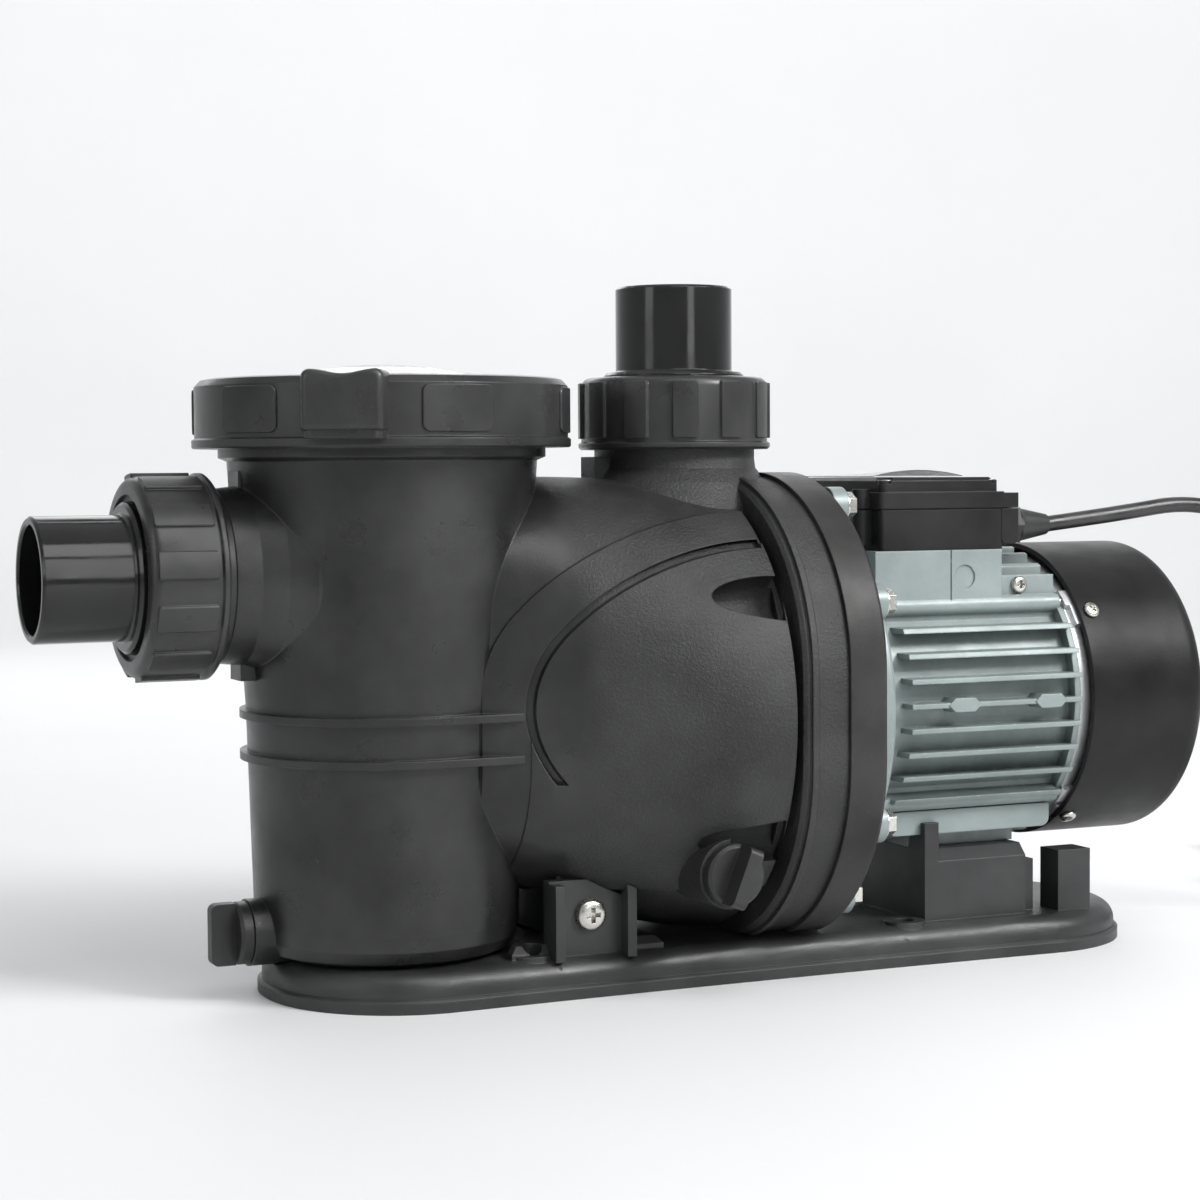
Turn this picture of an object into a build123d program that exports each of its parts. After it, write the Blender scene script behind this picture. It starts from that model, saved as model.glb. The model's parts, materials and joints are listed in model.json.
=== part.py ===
"""Pool pump: strainer pot, volute, union fittings, fan-cooled motor, base and power cord.

Frame: millimetres. The origin is the middle of the base's bolt holes on its underside, +X runs
along the shaft towards the motor's fan, +Z is up, and the suction port points along -X. The pump
and its base are drawn PLINTH lower than this and lifted when they are written out; the free cord,
which lies on the floor, is drawn where it lies.
"""
from build123d import *
from math import cos, pi, radians, sin, tan
import os

# ---------------------------------------------------------------- driving dimensions
SHAFT_Z = 106.0
PLINTH = 6.0

# unions (the same fitting on the suction and the discharge port)
PIPE_R = 25.0
PIPE_BORE_R = 21.5
NUT_R = 41.5
NUT_LENGTH = 31.0
UNION_REACH = 69.5
SUCTION_X = -210.0
SUCTION_Z = 166.0
DISCHARGE_Z = 216.0
THREAD_R = 36.0

# strainer pot and lid
POT_X = -133.5
POT_FLOOR_Z = 10.5
POT_TOP_R = 63.5
POT_LOW_R = 54.5
POT_WALL = 5.0
POT_RIM_Z = 236.5
LID_RING_R = 77.5
LID_RING_Z = 216.7
LID_TOP_Z = 245.0
DOME_TOP_Z = 251.0
RIB_R = 59.6
RIB_HEIGHTS = (92.4, 109.4)

# volute and the thick flange ring
DRUM_R = 96.0
DRUM_END_X = 6.0
CASING_X = 9.5
SPLIT_X = 30.0
FLANGE_X = 48.0
SHIELD_RIM_X = 60.5
LUG_THICKNESS = 7.0
WASHER_X = FLANGE_X + LUG_THICKNESS
FLANGE_HALF = 100.0
FLANGE_CORNER = 82.0
CHAMBER_R = 79.0
BOLT_PLACES = ((30.0, 92.0), (61.0, 98.0), (-30.0, 92.0), (-57.0, 95.0))
BOLT_R = 3.0
POCKET_TURN_R = 96.0
POCKET_LENGTH = 37.0
POCKET_R = 10.5
STEP_DEPTHS = (1.7, 2.6)

# motor
HOUSING_X = 70.0
HOUSING_END_X = 168.0
CORE_R = 57.0
FIN_R = 65.5
FIN_PITCH = 10.6
FIN_THICKNESS = 2.2
FIN_X = (80.0, 166.5)
TIE_BOLTS = ((45.0, 41.6), (43.5, -43.2))
STATOR_R = 52.5
STATOR_X = (92.0, 152.0)
PAD_HALF = 48.0
PAD_X = (72.0, 136.0)
EARTH_Y = -43.4
EARTH_X = 147.5
EARTH_Z = 155.8
PAD_TOP_Z = 171.8
COVER_R = 66.8
COVER_X = 172.0
COVER_END_X = 234.0
COVER_WALL = 2.2
COVER_SCREW_TURN = 10.5
BEARING_X = (60.0, 168.0)
BEARING_WIDTH = 12.0
BEARING_R = 20.0
JOURNAL_R = 8.5

# terminal box
BOX_X = (76.6, 139.0)
BOX_HALF = 45.0
BOX_BASE_Z = 190.0
BOX_TOP_Z = 203.3
GLAND_Y = -35.0
GLAND_Z = 182.0
GLAND_END_X = 167.0

# base
BASE_X = (-186.0, 217.0)
BASE_HALF = 61.0
BASE_CORNER = 58.0
WAIST_DEPTH = 2.5
BASE_Z = -PLINTH
LIP_Z = -0.5
DECK_Z = 10.0
DECK_ROUND = 8.0
BASE_WALL = 4.0
PAD_Z = 15.0
BRACKET_PAD_X = (-98.0, -30.0)
HOLE_X = 88.0
HOLE_Y = 45.0
HOLE_R = 4.5
HOLE_BOSS_R = 9.0
BRACKET_X = -64.0
BRACKET_Y = 44.0
BRACKET_SCREW_Z = 26.5

# drain plugs
PLUG_THREAD_R = 9.0
PLUG_HEAD_R = 12.7
POT_PLUG_X = -194.0
POT_PLUG_Z = 21.5
VOLUTE_PLUG_X = -18.5
VOLUTE_PLUG_Z = 45.0
VOLUTE_PLUG_Y = -88.0

# power cord: its route from the gland, the standing coil and the tail to the plug
CORD_R = 3.55
CORD_ROUTE = (
    (167, -35, 188), (204, -37, 192), (245, -40, 198), (283, -42, 186), (305, -43, 151),
    (316, -43, 107), (326, -43, 69), (352, -43, 44), (392, -43, 39.1),
)
COIL_X = 392.0
COIL_Y = -4.0
COIL_MID_R = 39.0
COIL_TURNS = 5.25
TAIL_ROUTE = ((431, -4, 3.6), (431.5, 24, 3.8), (428, 52, 8.5), (426, 80, 12.6))
PLUG_PLACE = (426.0, 80.0, 12.6)

RUNNING_GAP = 0.05


# ---------------------------------------------------------------- helpers
def shaft_point(x, y=0.0, z=SHAFT_Z):
    return Vector(x, y, z)


def rod(start, direction, radius, length):
    """A cylinder from a start point along a direction."""
    return extrude(Plane(origin=start, z_dir=direction) * Circle(radius), length)


def rod_x(x0, x1, radius, y=0.0, z=SHAFT_Z):
    return rod((x0, y, z), (1, 0, 0), radius, x1 - x0)


def rod_z(z0, z1, radius, x=0.0, y=0.0):
    return rod((x, y, z0), (0, 0, 1), radius, z1 - z0)


def block(x, y, z):
    """A box from three (low, high) pairs."""
    size = [high - low for low, high in (x, y, z)]
    middle = [(high + low) / 2 for low, high in (x, y, z)]
    return Pos(*middle) * Box(*size)


def turned_x(profile, z=SHAFT_Z):
    """A body of revolution about a line along X; the profile is (x, radius) points."""
    outline = Polyline(*[(x, 0, z + r) for x, r in profile], close=True)
    return revolve(make_face(outline), Axis((0, 0, z), (1, 0, 0)))


def turned_z(profile, x=0.0, y=0.0):
    """A body of revolution about a line along Z; the profile is (radius, z) points."""
    outline = Polyline(*[(x + r, y, z) for r, z in profile], close=True)
    return revolve(make_face(outline), Axis((x, y, 0), (0, 0, 1)))


def o_ring(centre, direction, radius, section_r):
    return Plane(origin=centre, z_dir=direction) * Torus(radius, section_r)


def around_shaft(degrees, radius, x=0.0):
    """A point at a radius from the shaft; 0 degrees is towards +Y."""
    angle = radians(degrees)
    return (x, radius * cos(angle), SHAFT_Z + radius * sin(angle))


def flange_bolt_places():
    """Angle and radius of each flange bolt, the same on both sides."""
    places = []
    for degrees, radius in BOLT_PLACES:
        places.append((degrees, radius))
        places.append((180 - degrees, radius))
    return places


def squircle(x, half, corner):
    return Plane(origin=shaft_point(x), x_dir=(0, 1, 0), z_dir=(1, 0, 0)) * RectangleRounded(
        2 * half, 2 * half, corner)


def together(shapes):
    """Separate pieces kept as one group."""
    return Compound(children=list(shapes))


# ---------------------------------------------------------------- unions
def union_place(port):
    """The plane at a nut's inner end, with +Z pointing out of the port."""
    if port == "suction":
        return Plane(origin=(SUCTION_X, 0, SUCTION_Z), x_dir=(0, 1, 0), z_dir=(-1, 0, 0))
    return Plane(origin=(0, 0, DISCHARGE_Z), x_dir=(1, 0, 0), z_dir=(0, 0, 1))


THREAD_END = 20.0
COLLAR_R = 35.6
SHOULDER_R = 30.0
COLLAR_TOP = 26.0
SHOULDER_TOP = 33.0


def union_thread(port):
    """The threaded end that belongs to the pump body, without its bore."""
    thread = turned_z(((0, -14), (THREAD_R - 1.5, -14), (THREAD_R - 1.5, 2), (THREAD_R, 3.5),
                       (THREAD_R, THREAD_END - 1), (THREAD_R - 1, THREAD_END), (0, THREAD_END)))
    groove = turned_z(((27.4, THREAD_END - 3.5), (31.6, THREAD_END - 3.5),
                       (31.6, THREAD_END + 1), (27.4, THREAD_END + 1)))
    return union_place(port) * (thread - groove)


def union_spigot(port):
    tail = turned_z((
        (PIPE_BORE_R, THREAD_END), (COLLAR_R, THREAD_END), (COLLAR_R, COLLAR_TOP),
        (SHOULDER_R, COLLAR_TOP), (SHOULDER_R, SHOULDER_TOP - 1.2),
        (SHOULDER_R - 1.2, SHOULDER_TOP), (PIPE_R + 0.8, SHOULDER_TOP),
        (PIPE_R, SHOULDER_TOP + 0.8), (PIPE_R, UNION_REACH - 1.0),
        (PIPE_R - 1.0, UNION_REACH), (PIPE_BORE_R + 0.8, UNION_REACH),
        (PIPE_BORE_R, UNION_REACH - 0.8)))
    return union_place(port) * tail


def union_nut(port):
    """A ring nut with twelve raised grip panels round it."""
    lip_z = COLLAR_TOP + 0.2
    nut = turned_z((
        (THREAD_R + 0.4, 0), (NUT_R - 1.2, 0), (NUT_R - 0.2, 1.0), (NUT_R - 0.2, 2.6),
        (NUT_R, 3.2), (NUT_R, NUT_LENGTH - 5), (NUT_R - 3.5, NUT_LENGTH),
        (SHOULDER_R + 3.0, NUT_LENGTH), (SHOULDER_R + 2.4, NUT_LENGTH - 2.2),
        (SHOULDER_R + 0.4, NUT_LENGTH - 2.2), (SHOULDER_R + 0.4, lip_z),
        (THREAD_R + 0.4, lip_z)))
    groove = Pos(NUT_R, 0, NUT_LENGTH / 2 + 1.6) * Box(2.6, 4.6, NUT_LENGTH)
    nut = nut - [Rot(0, 0, 15 + 30 * step) * groove for step in range(12)]
    return union_place(port) * nut


def union_o_ring(port):
    return union_place(port) * (Pos(0, 0, THREAD_END - 1.7) * Torus(29.5, 1.65))


# ---------------------------------------------------------------- pump body
def volute_skin(grow=0.0):
    """The outside of the volute: a rounded box inside the pot that opens out to a drum."""
    sections = []
    for x, half_y, low_z, high_z, corner in (
            (-128.0, 48.0, 44.0, 200.0, 44.0), (-96.0, 58.0, 38.0, 204.0, 54.0),
            (-52.0, 81.0, 23.0, 204.5, 77.0), (DRUM_END_X, DRUM_R, 10.0, 202.0, 95.0)):
        middle = (low_z + high_z) / 2
        place = Plane(origin=(x, 0, middle), x_dir=(0, 1, 0), z_dir=(1, 0, 0))
        sections.append(place * RectangleRounded(
            2 * (half_y + grow), high_z - low_z + 2 * grow, corner + grow))
    return loft(sections)


def side_oval(start_x, base_z, top_z, end_x, grow=0.0):
    """A solid through both sides whose outline is an ellipse centred on (end_x, base_z)."""
    place = Plane(origin=(end_x, 0, base_z), x_dir=(1, 0, 0), z_dir=(0, -1, 0))
    return extrude(place * Ellipse(end_x - start_x + grow, top_z - base_z + grow), 120, both=True)


def shoulder_step(depth, start_x, base_z, top_z, end_x):
    """A raised field on the volute's sides whose front edge is a quarter ellipse."""
    field = side_oval(start_x, base_z, top_z, end_x) + block((start_x, end_x), (-120, 120), (0, base_z))
    window = block((start_x - 1, DRUM_END_X), (-120, 120), (36, top_z + 1))
    return volute_skin(depth) & field & window


def shoulder_groove(start_x, base_z, top_z, end_x):
    """A rounded channel that follows the edge of a raised field."""
    channel = side_oval(start_x, base_z, top_z, end_x, 1.7) - side_oval(start_x, base_z, top_z, end_x, -1.7)
    window = block((start_x - 3, DRUM_END_X - 1), (-120, 120), (base_z - 30, top_z + 3))
    return (channel & window) - volute_skin(-0.6)


def pot_outside():
    return turned_z((
        (0, POT_FLOOR_Z), (POT_LOW_R - 9, POT_FLOOR_Z), (POT_LOW_R - 4, POT_FLOOR_Z + 2),
        (POT_LOW_R - 0.8, POT_FLOOR_Z + 7), (POT_LOW_R, POT_FLOOR_Z + 13),
        (57.0, 112.0), (POT_TOP_R, LID_RING_Z - 5), (POT_TOP_R + 3.5, LID_RING_Z - 3.5),
        (POT_TOP_R + 3.5, LID_RING_Z), (69.3, LID_RING_Z + 2.5), (69.3, POT_RIM_Z - 1),
        (68.3, POT_RIM_Z), (0, POT_RIM_Z)), x=POT_X)


def pot_inside():
    floor = POT_FLOOR_Z + POT_WALL
    return turned_z((
        (0, floor), (POT_LOW_R - 12, floor), (POT_LOW_R - POT_WALL, floor + 9),
        (52.4, 112.0), (56.4, 202.0), (59.0, 202.0), (59.0, POT_RIM_Z), (0, POT_RIM_Z)),
        x=POT_X)


def pot_ribs():
    """Two thin bands round the pot that run on along the volute."""
    ribs = []
    for height in RIB_HEIGHTS:
        band = rod_z(height - 1.6, height + 1.6, RIB_R, x=POT_X)
        arm = block((POT_X, -78), (-RIB_R, RIB_R), (height - 1.6, height + 1.6))
        end = rod_z(height - 1.6, height + 1.6, 6.0, x=-78, y=RIB_R - 6)
        ribs.append(band + arm + end + mirror(end, Plane.XZ))
    return ribs


def neck_webs():
    """Small upright webs beside the unions, where the necks meet the body."""
    suction = block((SUCTION_X + 13, SUCTION_X + 20), (-7, 7), (SUCTION_Z - 42, SUCTION_Z + 42))
    discharge = block((-41, SPLIT_X - 1), (-7, 7), (196, DISCHARGE_Z - 3))
    return [suction, discharge]


def port_necks():
    """Flared necks that carry the two union threads."""
    out = SUCTION_X + 4
    suction = turned_x(((out, 0), (out, 35), (-196, 36), (-186, 39), (-176, 44), (-165, 46),
                        (-165, 0)), z=SUCTION_Z)
    discharge = turned_z(((0, 170), (50, 170), (46, 192), (40, 202), (35, 208), (34, DISCHARGE_Z),
                          (0, DISCHARGE_Z)))
    return [suction, discharge, union_thread("suction"), union_thread("discharge")]


def bolt_pockets():
    """Bullet-shaped recesses in front of the side bolts, widest at the flange."""
    length, radius = POCKET_LENGTH, POCKET_R
    quarter = Ellipse(length, radius) & Pos(-length / 2, radius / 2) * Rectangle(length, radius)
    bullet = revolve(quarter, Axis.X)
    pockets = []
    for degrees in (30, 150, -30, -150):
        lean = Rot(0, 0, 7 if cos(radians(degrees)) > 0 else -7)
        pockets.append(Pos(DRUM_END_X + 0.4, *around_shaft(degrees, POCKET_TURN_R)[1:]) * lean * bullet)
    return pockets


def casing_flange():
    """The front half of the flange ring, with a bead near its front edge."""
    ring = extrude(squircle(CASING_X, FLANGE_HALF - 1.4, FLANGE_CORNER), SPLIT_X - CASING_X)
    ring = chamfer(ring.faces().sort_by(Axis.X)[0].edges(), 1.6)
    bead = extrude(squircle(CASING_X + 3, FLANGE_HALF, FLANGE_CORNER), 3.2)
    bead = bead - extrude(squircle(CASING_X + 3, FLANGE_HALF - 8, FLANGE_CORNER - 8), 3.2)
    return ring + chamfer(bead.faces().sort_by(Axis.X)[-1].edges(), 0.6)


def chamber():
    """The inside of the volute and the port from the pot."""
    room = turned_x(((-70, 0), (-70, 36), (-34, CHAMBER_R), (SPLIT_X, CHAMBER_R), (SPLIT_X, 0)))
    eye = rod_x(POT_X, -69, 27.0)
    outlet = rod_z(SHAFT_Z, DISCHARGE_Z + THREAD_END, PIPE_BORE_R)
    inlet = rod((SUCTION_X - THREAD_END, 0, SUCTION_Z), (1, 0, 0), PIPE_BORE_R, 76)
    return [room, eye, outlet, inlet]


def drain_bosses():
    pot_boss = rod_x(POT_PLUG_X, POT_X, 13.6, z=POT_PLUG_Z)
    volute_boss = rod((VOLUTE_PLUG_X, VOLUTE_PLUG_Y, VOLUTE_PLUG_Z), (0, 1, 0), 14.2, 40)
    return [pot_boss, volute_boss]


def drain_holes():
    """Each drain hole has a wider seat for its O-ring."""
    holes = []
    for start, inwards, depth in (
            ((POT_PLUG_X, 0, POT_PLUG_Z), (1, 0, 0), 40),
            ((VOLUTE_PLUG_X, VOLUTE_PLUG_Y, VOLUTE_PLUG_Z), (0, 1, 0), 60)):
        holes.append(rod(start, inwards, PLUG_THREAD_R + RUNNING_GAP, depth))
        holes.append(rod(start, inwards, 12.4, 2.6))
    return holes


def pump_body():
    foot = block((BRACKET_X - 12, BRACKET_X + 12), (-BRACKET_Y, BRACKET_Y), (PAD_Z + 1.5, 45))
    waist = rod_x(DRUM_END_X - 1, CASING_X + 1, 91.0)
    upper_step = shoulder_step(STEP_DEPTHS[0], -112, 118, 190, 8)
    lower_step = shoulder_step(STEP_DEPTHS[1], -94, 112, 177, 8)
    body = pot_outside() + volute_skin() + upper_step + lower_step
    body = body + [waist, casing_flange(), foot] + pot_ribs() + port_necks() + neck_webs()
    body = body + drain_bosses()
    body = body - shoulder_groove(-94, 112, 177, 8)
    body = body - bolt_pockets() - pot_inside() - chamber() - drain_holes()
    body = body - o_ring_seat_lid()
    body = body - block((-40, SPLIT_X), (-120, 120), (0, DECK_Z + 0.9))
    body = body - block((SPLIT_X, 70), (-60, 60), (SHAFT_Z, SHAFT_Z + FLANGE_HALF + 0.3))
    for degrees, radius in flange_bolt_places():
        place = around_shaft(degrees, radius)
        body = body - rod_x(CASING_X + 4, SPLIT_X, 5.0, place[1], place[2])
    for side in (-1, 1):
        body = body - rod((BRACKET_X, side * BRACKET_Y, BRACKET_SCREW_Z), (0, -side, 0), 2.6, 20)
    return body


# ---------------------------------------------------------------- lid and basket
def o_ring_seat_lid():
    seat = turned_z(((60.9, POT_RIM_Z - 3.5), (65.1, POT_RIM_Z - 3.5), (65.1, POT_RIM_Z + 1),
                     (60.9, POT_RIM_Z + 1)), x=POT_X)
    return seat


def lid_o_ring():
    return o_ring((POT_X, 0, POT_RIM_Z - 1.7), (0, 0, 1), 63.0, 1.65)


def lid_dome():
    """The clear lid: a flat rim with a shallow dome."""
    low = POT_RIM_Z + 0.1
    outer = Spline((57, low + 4.2, 0), (30, DOME_TOP_Z - 2.4, 0), (0, DOME_TOP_Z, 0),
                   tangents=((-1, 0.5, 0), (-1, 0, 0)))
    inner = Spline((0, DOME_TOP_Z - 3.6, 0), (30, DOME_TOP_Z - 6.0, 0), (54, low, 0),
                   tangents=((1, 0, 0), (1, -0.5, 0)))
    rim = Polyline((54, low, 0), (68.6, low, 0), (68.6, low + 4.2, 0), (57, low + 4.2, 0))
    top = Line((0, DOME_TOP_Z, 0), (0, DOME_TOP_Z - 3.6, 0))
    half = make_face(Curve() + [outer, top, inner, rim])
    lid = revolve(Plane.XZ.location * half, Axis.Z)
    return Pos(POT_X, 0, 0) * lid


def lid_lug():
    """A hand lug with a thumb dip in its top, at the ring's rim."""
    lug = block((70, 86), (-15.5, 15.5), (LID_RING_Z + 3.5, LID_TOP_Z - 1.0))
    lug = fillet(lug.edges().filter_by(Axis.Z).group_by(Axis.X)[-1], 4.0)
    dip = rod((86, 0, LID_TOP_Z + 18), (-1, 0, 0), 21.0, 10)
    return lug - dip


def lid_ring():
    ring = turned_z((
        (69.7, LID_RING_Z + 0.2), (LID_RING_R - 0.6, LID_RING_Z + 0.2),
        (LID_RING_R, LID_RING_Z + 0.8), (LID_RING_R, LID_RING_Z + 3.6),
        (LID_RING_R - 1.2, LID_RING_Z + 4.4), (LID_RING_R - 1.2, LID_TOP_Z - 3.2),
        (LID_RING_R - 3.6, LID_TOP_Z - 0.6), (LID_RING_R - 6, LID_TOP_Z), (63, LID_TOP_Z),
        (59.5, LID_TOP_Z - 2), (59.5, POT_RIM_Z + 4.6), (69.7, POT_RIM_Z + 4.6)))
    panel_outer = rod_z(LID_RING_Z + 7.5, LID_TOP_Z - 5, LID_RING_R)
    panel_ring = panel_outer - rod_z(LID_RING_Z + 7.5, LID_TOP_Z - 5, LID_RING_R - 3)
    windows = []
    for step in range(20):
        windows.append(Rot(0, 0, 18 * step) * Pos(LID_RING_R, 0, LID_RING_Z + 15) * Box(12, 16, 26))
    ring = ring + (panel_ring & windows)
    lug = lid_lug()
    ring = ring + [Rot(0, 0, turn) * lug for turn in (60, 240)]
    return Pos(POT_X, 0, 0) * ring


BASKET_RIM_Z = 202.2
BASKET_FLOOR_Z = 62.0
HANDLE_Z = 196.0
HANDLE_REACH = 34.0


def strainer_basket():
    """A tapered bucket with slotted walls and floor, a rim and an inlet window."""
    rim, floor = BASKET_RIM_Z, BASKET_FLOOR_Z
    bucket = turned_z((
        (0, floor), (45, floor), (46.5, floor + 2), (52.0, rim - 3), (55.0, rim), (58.4, rim), (58.4, rim + 2.4),
        (50.6, rim + 2.4), (49.8, rim - 3), (44.4, floor + 2.2), (0, floor + 2.2)))
    slots = []
    for step in range(18):
        for low, high in ((floor + 8, floor + 48), (floor + 54, rim - 42)):
            slot = block((38, 60), (-1.6, 1.6), (low, high))
            slots.append(Rot(0, 0, 20 * step + 10) * slot)
    for step in range(8):
        slots.append(Rot(0, 0, 45 * step) * block((12, 38), (-1.5, 1.5), (floor - 1, floor + 3)))
    window = rod((-62, 0, SUCTION_Z), (1, 0, 0), 23.0, 24)
    bucket = bucket - slots - window
    for side in (-1, 1):
        bucket = bucket - rod((0, side * 46, HANDLE_Z), (0, side, 0), 2.0, 12)
    return Pos(POT_X, 0, 0) * bucket


def basket_handle():
    """A flat bail that lies inside the rim, with a round pivot at each end."""
    oval = Ellipse(HANDLE_REACH, 46.5) - Ellipse(HANDLE_REACH - 4, 42.5)
    strap = extrude(oval, 1.6, both=True) & block((0, 60), (-60, 60), (-5, 5))
    pivots = []
    for side in (-1, 1):
        pivots.append(rod((0, side * 43.2, 0), (0, side, 0), 1.93, 8.0))
        pivots.append(rod((0, side * 42.6, 0), (0, side, 0), 3.4, 4.0))
    return Pos(POT_X, 0, HANDLE_Z) * (strap + pivots)


# ---------------------------------------------------------------- drain plugs
def drain_plug(place):
    """A round plug with a plain shank, a flanged head and a bar to grip."""
    turned = turned_z(((0, -17), (PLUG_THREAD_R - 1, -17), (PLUG_THREAD_R, -16), (PLUG_THREAD_R, 0.2),
                       (PLUG_HEAD_R, 0.2), (PLUG_HEAD_R, 4.2), (PLUG_HEAD_R - 1.2, 5.4), (0, 5.4)))
    bar = Pos(0, 0, 10.2) * Box(6.0, 25.0, 10.0)
    bar = fillet(bar.edges().filter_by(Axis.X).group_by(Axis.Z)[-1], 3.0)
    return place * (turned + bar)


def drain_plug_o_ring(place):
    return place * (Pos(0, 0, -1.3) * Torus(10.8, 1.25))


def pot_plug_place():
    return Plane(origin=(POT_PLUG_X, 0, POT_PLUG_Z), x_dir=(0, 1, 0), z_dir=(-1, 0, 0))


def volute_plug_place():
    return Plane(origin=(VOLUTE_PLUG_X, VOLUTE_PLUG_Y, VOLUTE_PLUG_Z), x_dir=(1, 0, -0.4),
                 z_dir=(0, -1, 0))


# ---------------------------------------------------------------- wet end
def diffuser():
    """A bowl round the impeller with a tube into the pot's port and outlet slots."""
    bowl = turned_x((
        (-72, 22.0), (-72, 26.9), (-54, 26.9), (-26, 73.4), (14, 73.4), (14, 70.4), (-24, 70.4),
        (-50.5, 27.4), (-50.5, 22.0)))
    slots = []
    for step in range(10):
        slot = block((-8, 8), (-5, 5), (60, 80))
        slots.append(Pos(0, 0, SHAFT_Z) * (Rot(36 * step, 0, 0) * slot))
    return bowl - slots


def impeller_vane(step):
    """One swept vane between the shrouds."""
    place = Plane(origin=shaft_point(-11.0), x_dir=(0, 1, 0), z_dir=(1, 0, 0))
    turn = 60.0 * step
    inner = Vector(17, 0, 0).rotate(Axis.Z, turn)
    middle = Vector(41, 0, 0).rotate(Axis.Z, turn + 26)
    outer = Vector(58, 0, 0).rotate(Axis.Z, turn + 62)
    curve = ThreePointArc(inner, middle, outer)
    ribbon = offset(curve, amount=1.1, side=Side.BOTH)
    return extrude(place * make_face(ribbon), 9.2)


def impeller():
    back = turned_x(((-2, 6.5), (-2, 60), (1, 60), (1, 14), (3, 14), (3, 6.5)))
    front = turned_x(((-46, 18.4), (-46, 21.5), (-24, 21.5), (-16, 27), (-12.6, 60), (-9.6, 60),
                      (-12.6, 26), (-20, 18.4)))
    hub = turned_x(((-20, 6.5), (-20, 10), (-1.5, 16), (-1.5, 6.5)))
    wheel = back + front + hub
    return wheel + [impeller_vane(step) for step in range(6)]


def impeller_nut():
    hexagon = Plane(origin=shaft_point(-27), z_dir=(1, 0, 0)) * RegularPolygon(9.0, 6)
    nut = extrude(hexagon, 7.0) + turned_x(((-35, 0), (-33, 5), (-27, 7.5), (-27, 0)))
    return nut - rod_x(-32.5, -20, 4.0)


def seal_plate():
    """The rear half of the flange ring with the wall behind the impeller."""
    ring = extrude(squircle(SPLIT_X, FLANGE_HALF, FLANGE_CORNER), FLANGE_X - SPLIT_X)
    ring = chamfer(ring.faces().sort_by(Axis.X)[-1].edges(), 2.2)
    plate = ring - rod_x(SPLIT_X + 10, FLANGE_X, 78.0)
    plate = plate + turned_x(((24, 9.5), (24, CHAMBER_R - 0.1), (SPLIT_X, CHAMBER_R - 0.1),
                              (SPLIT_X, 9.5)))
    plate = plate + turned_x(((24, 9.5), (24, 25), (47.8, 25), (47.8, 9.5)))
    for step in range(8):
        rib = block((39, 47.8), (-1.6, 1.6), (24, 79))
        plate = plate + Pos(0, 0, SHAFT_Z) * (Rot(45 * step, 0, 0) * rib)
    plate = plate - rod_x(24, 34, 17.5) - rod_x(23, 49, 9.5)
    groove = turned_x(((SPLIT_X, 81.2), (SPLIT_X + 3.3, 81.2), (SPLIT_X + 3.3, 84.8),
                       (SPLIT_X, 84.8)))
    plate = plate - groove
    plate = plate - block((SPLIT_X, FLANGE_X), (-120, 120), (0, DECK_Z + 0.9))
    for degrees, radius in flange_bolt_places():
        place = around_shaft(degrees, radius)
        plate = plate - rod_x(SPLIT_X, FLANGE_X, BOLT_R + 0.3, place[1], place[2])
    return plate


def casing_o_ring():
    return o_ring(shaft_point(SPLIT_X + 1.6), (1, 0, 0), 83.0, 1.55)


def seal_seat():
    return turned_x(((26.1, 9.8), (26.1, 17.45), (34, 17.45), (34, 9.8)))


def seal_head():
    """The turning half of the shaft seal: carbon face and its holder."""
    return turned_x(((12, 8.0), (12, 15.5), (21, 15.5), (21, 14.0), (26.05, 14.0), (26.05, 10.5),
                     (19, 10.5), (19, 8.0)))


def seal_spring():
    """The seal's coil spring, closed at both ends, as plain turns."""
    turns = []
    for step in range(4):
        turns.append(o_ring(shaft_point(4.9 + 2.0 * step), (1, 0, 0), 12.0, 0.85))
    turns.append(turned_x(((3.02, 8.02), (3.02, 13.6), (4.0, 13.6), (4.0, 8.02))))
    return together(turns)


def water_slinger():
    return turned_x(((50, 8.0), (50, 12.0), (52.4, 12.0), (52.4, 8.0)))


# ---------------------------------------------------------------- shaft and rotor
def motor_shaft():
    first = BEARING_X[0] - 2
    last = BEARING_X[1] + BEARING_WIDTH + 1
    return turned_x((
        (-32, 0), (-32, 3.95), (-20, 3.95), (-20, 6.5), (3, 6.5), (3, 8.0), (first, 8.0),
        (first, JOURNAL_R), (BEARING_X[0] + BEARING_WIDTH, JOURNAL_R),
        (BEARING_X[0] + BEARING_WIDTH, 10), (86, 10), (86, 12), (158, 12), (158, 10),
        (BEARING_X[1], 10), (BEARING_X[1], JOURNAL_R), (last, JOURNAL_R), (last, 7), (220, 7),
        (220, 0)))


def rotor_core():
    return turned_x(((STATOR_X[0], 12), (STATOR_X[0], 34.6), (STATOR_X[1], 34.6),
                     (STATOR_X[1], 12)))


def rotor_end_rings():
    """Cast rings at each end of the rotor, with small fan blades."""
    rings = []
    for start, end in ((86.0, STATOR_X[0]), (STATOR_X[1], 158.0)):
        ring = turned_x(((start, 20), (start, 33.5), (end, 33.5), (end, 20)))
        for step in range(8):
            blade_x = (start - 4, start + 1) if start < 100 else (end - 1, end + 4)
            blade = block(blade_x, (-1.2, 1.2), (22, 32))
            ring = ring + Pos(0, 0, SHAFT_Z) * (Rot(45 * step, 0, 0) * blade)
        rings.append(ring)
    return together(rings)


def bearing_rings(inner_r, outer_r):
    rings = []
    for x in BEARING_X:
        rings.append(turned_x(((x, inner_r), (x, outer_r), (x + BEARING_WIDTH, outer_r),
                               (x + BEARING_WIDTH, inner_r))))
    return together(rings)


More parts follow.
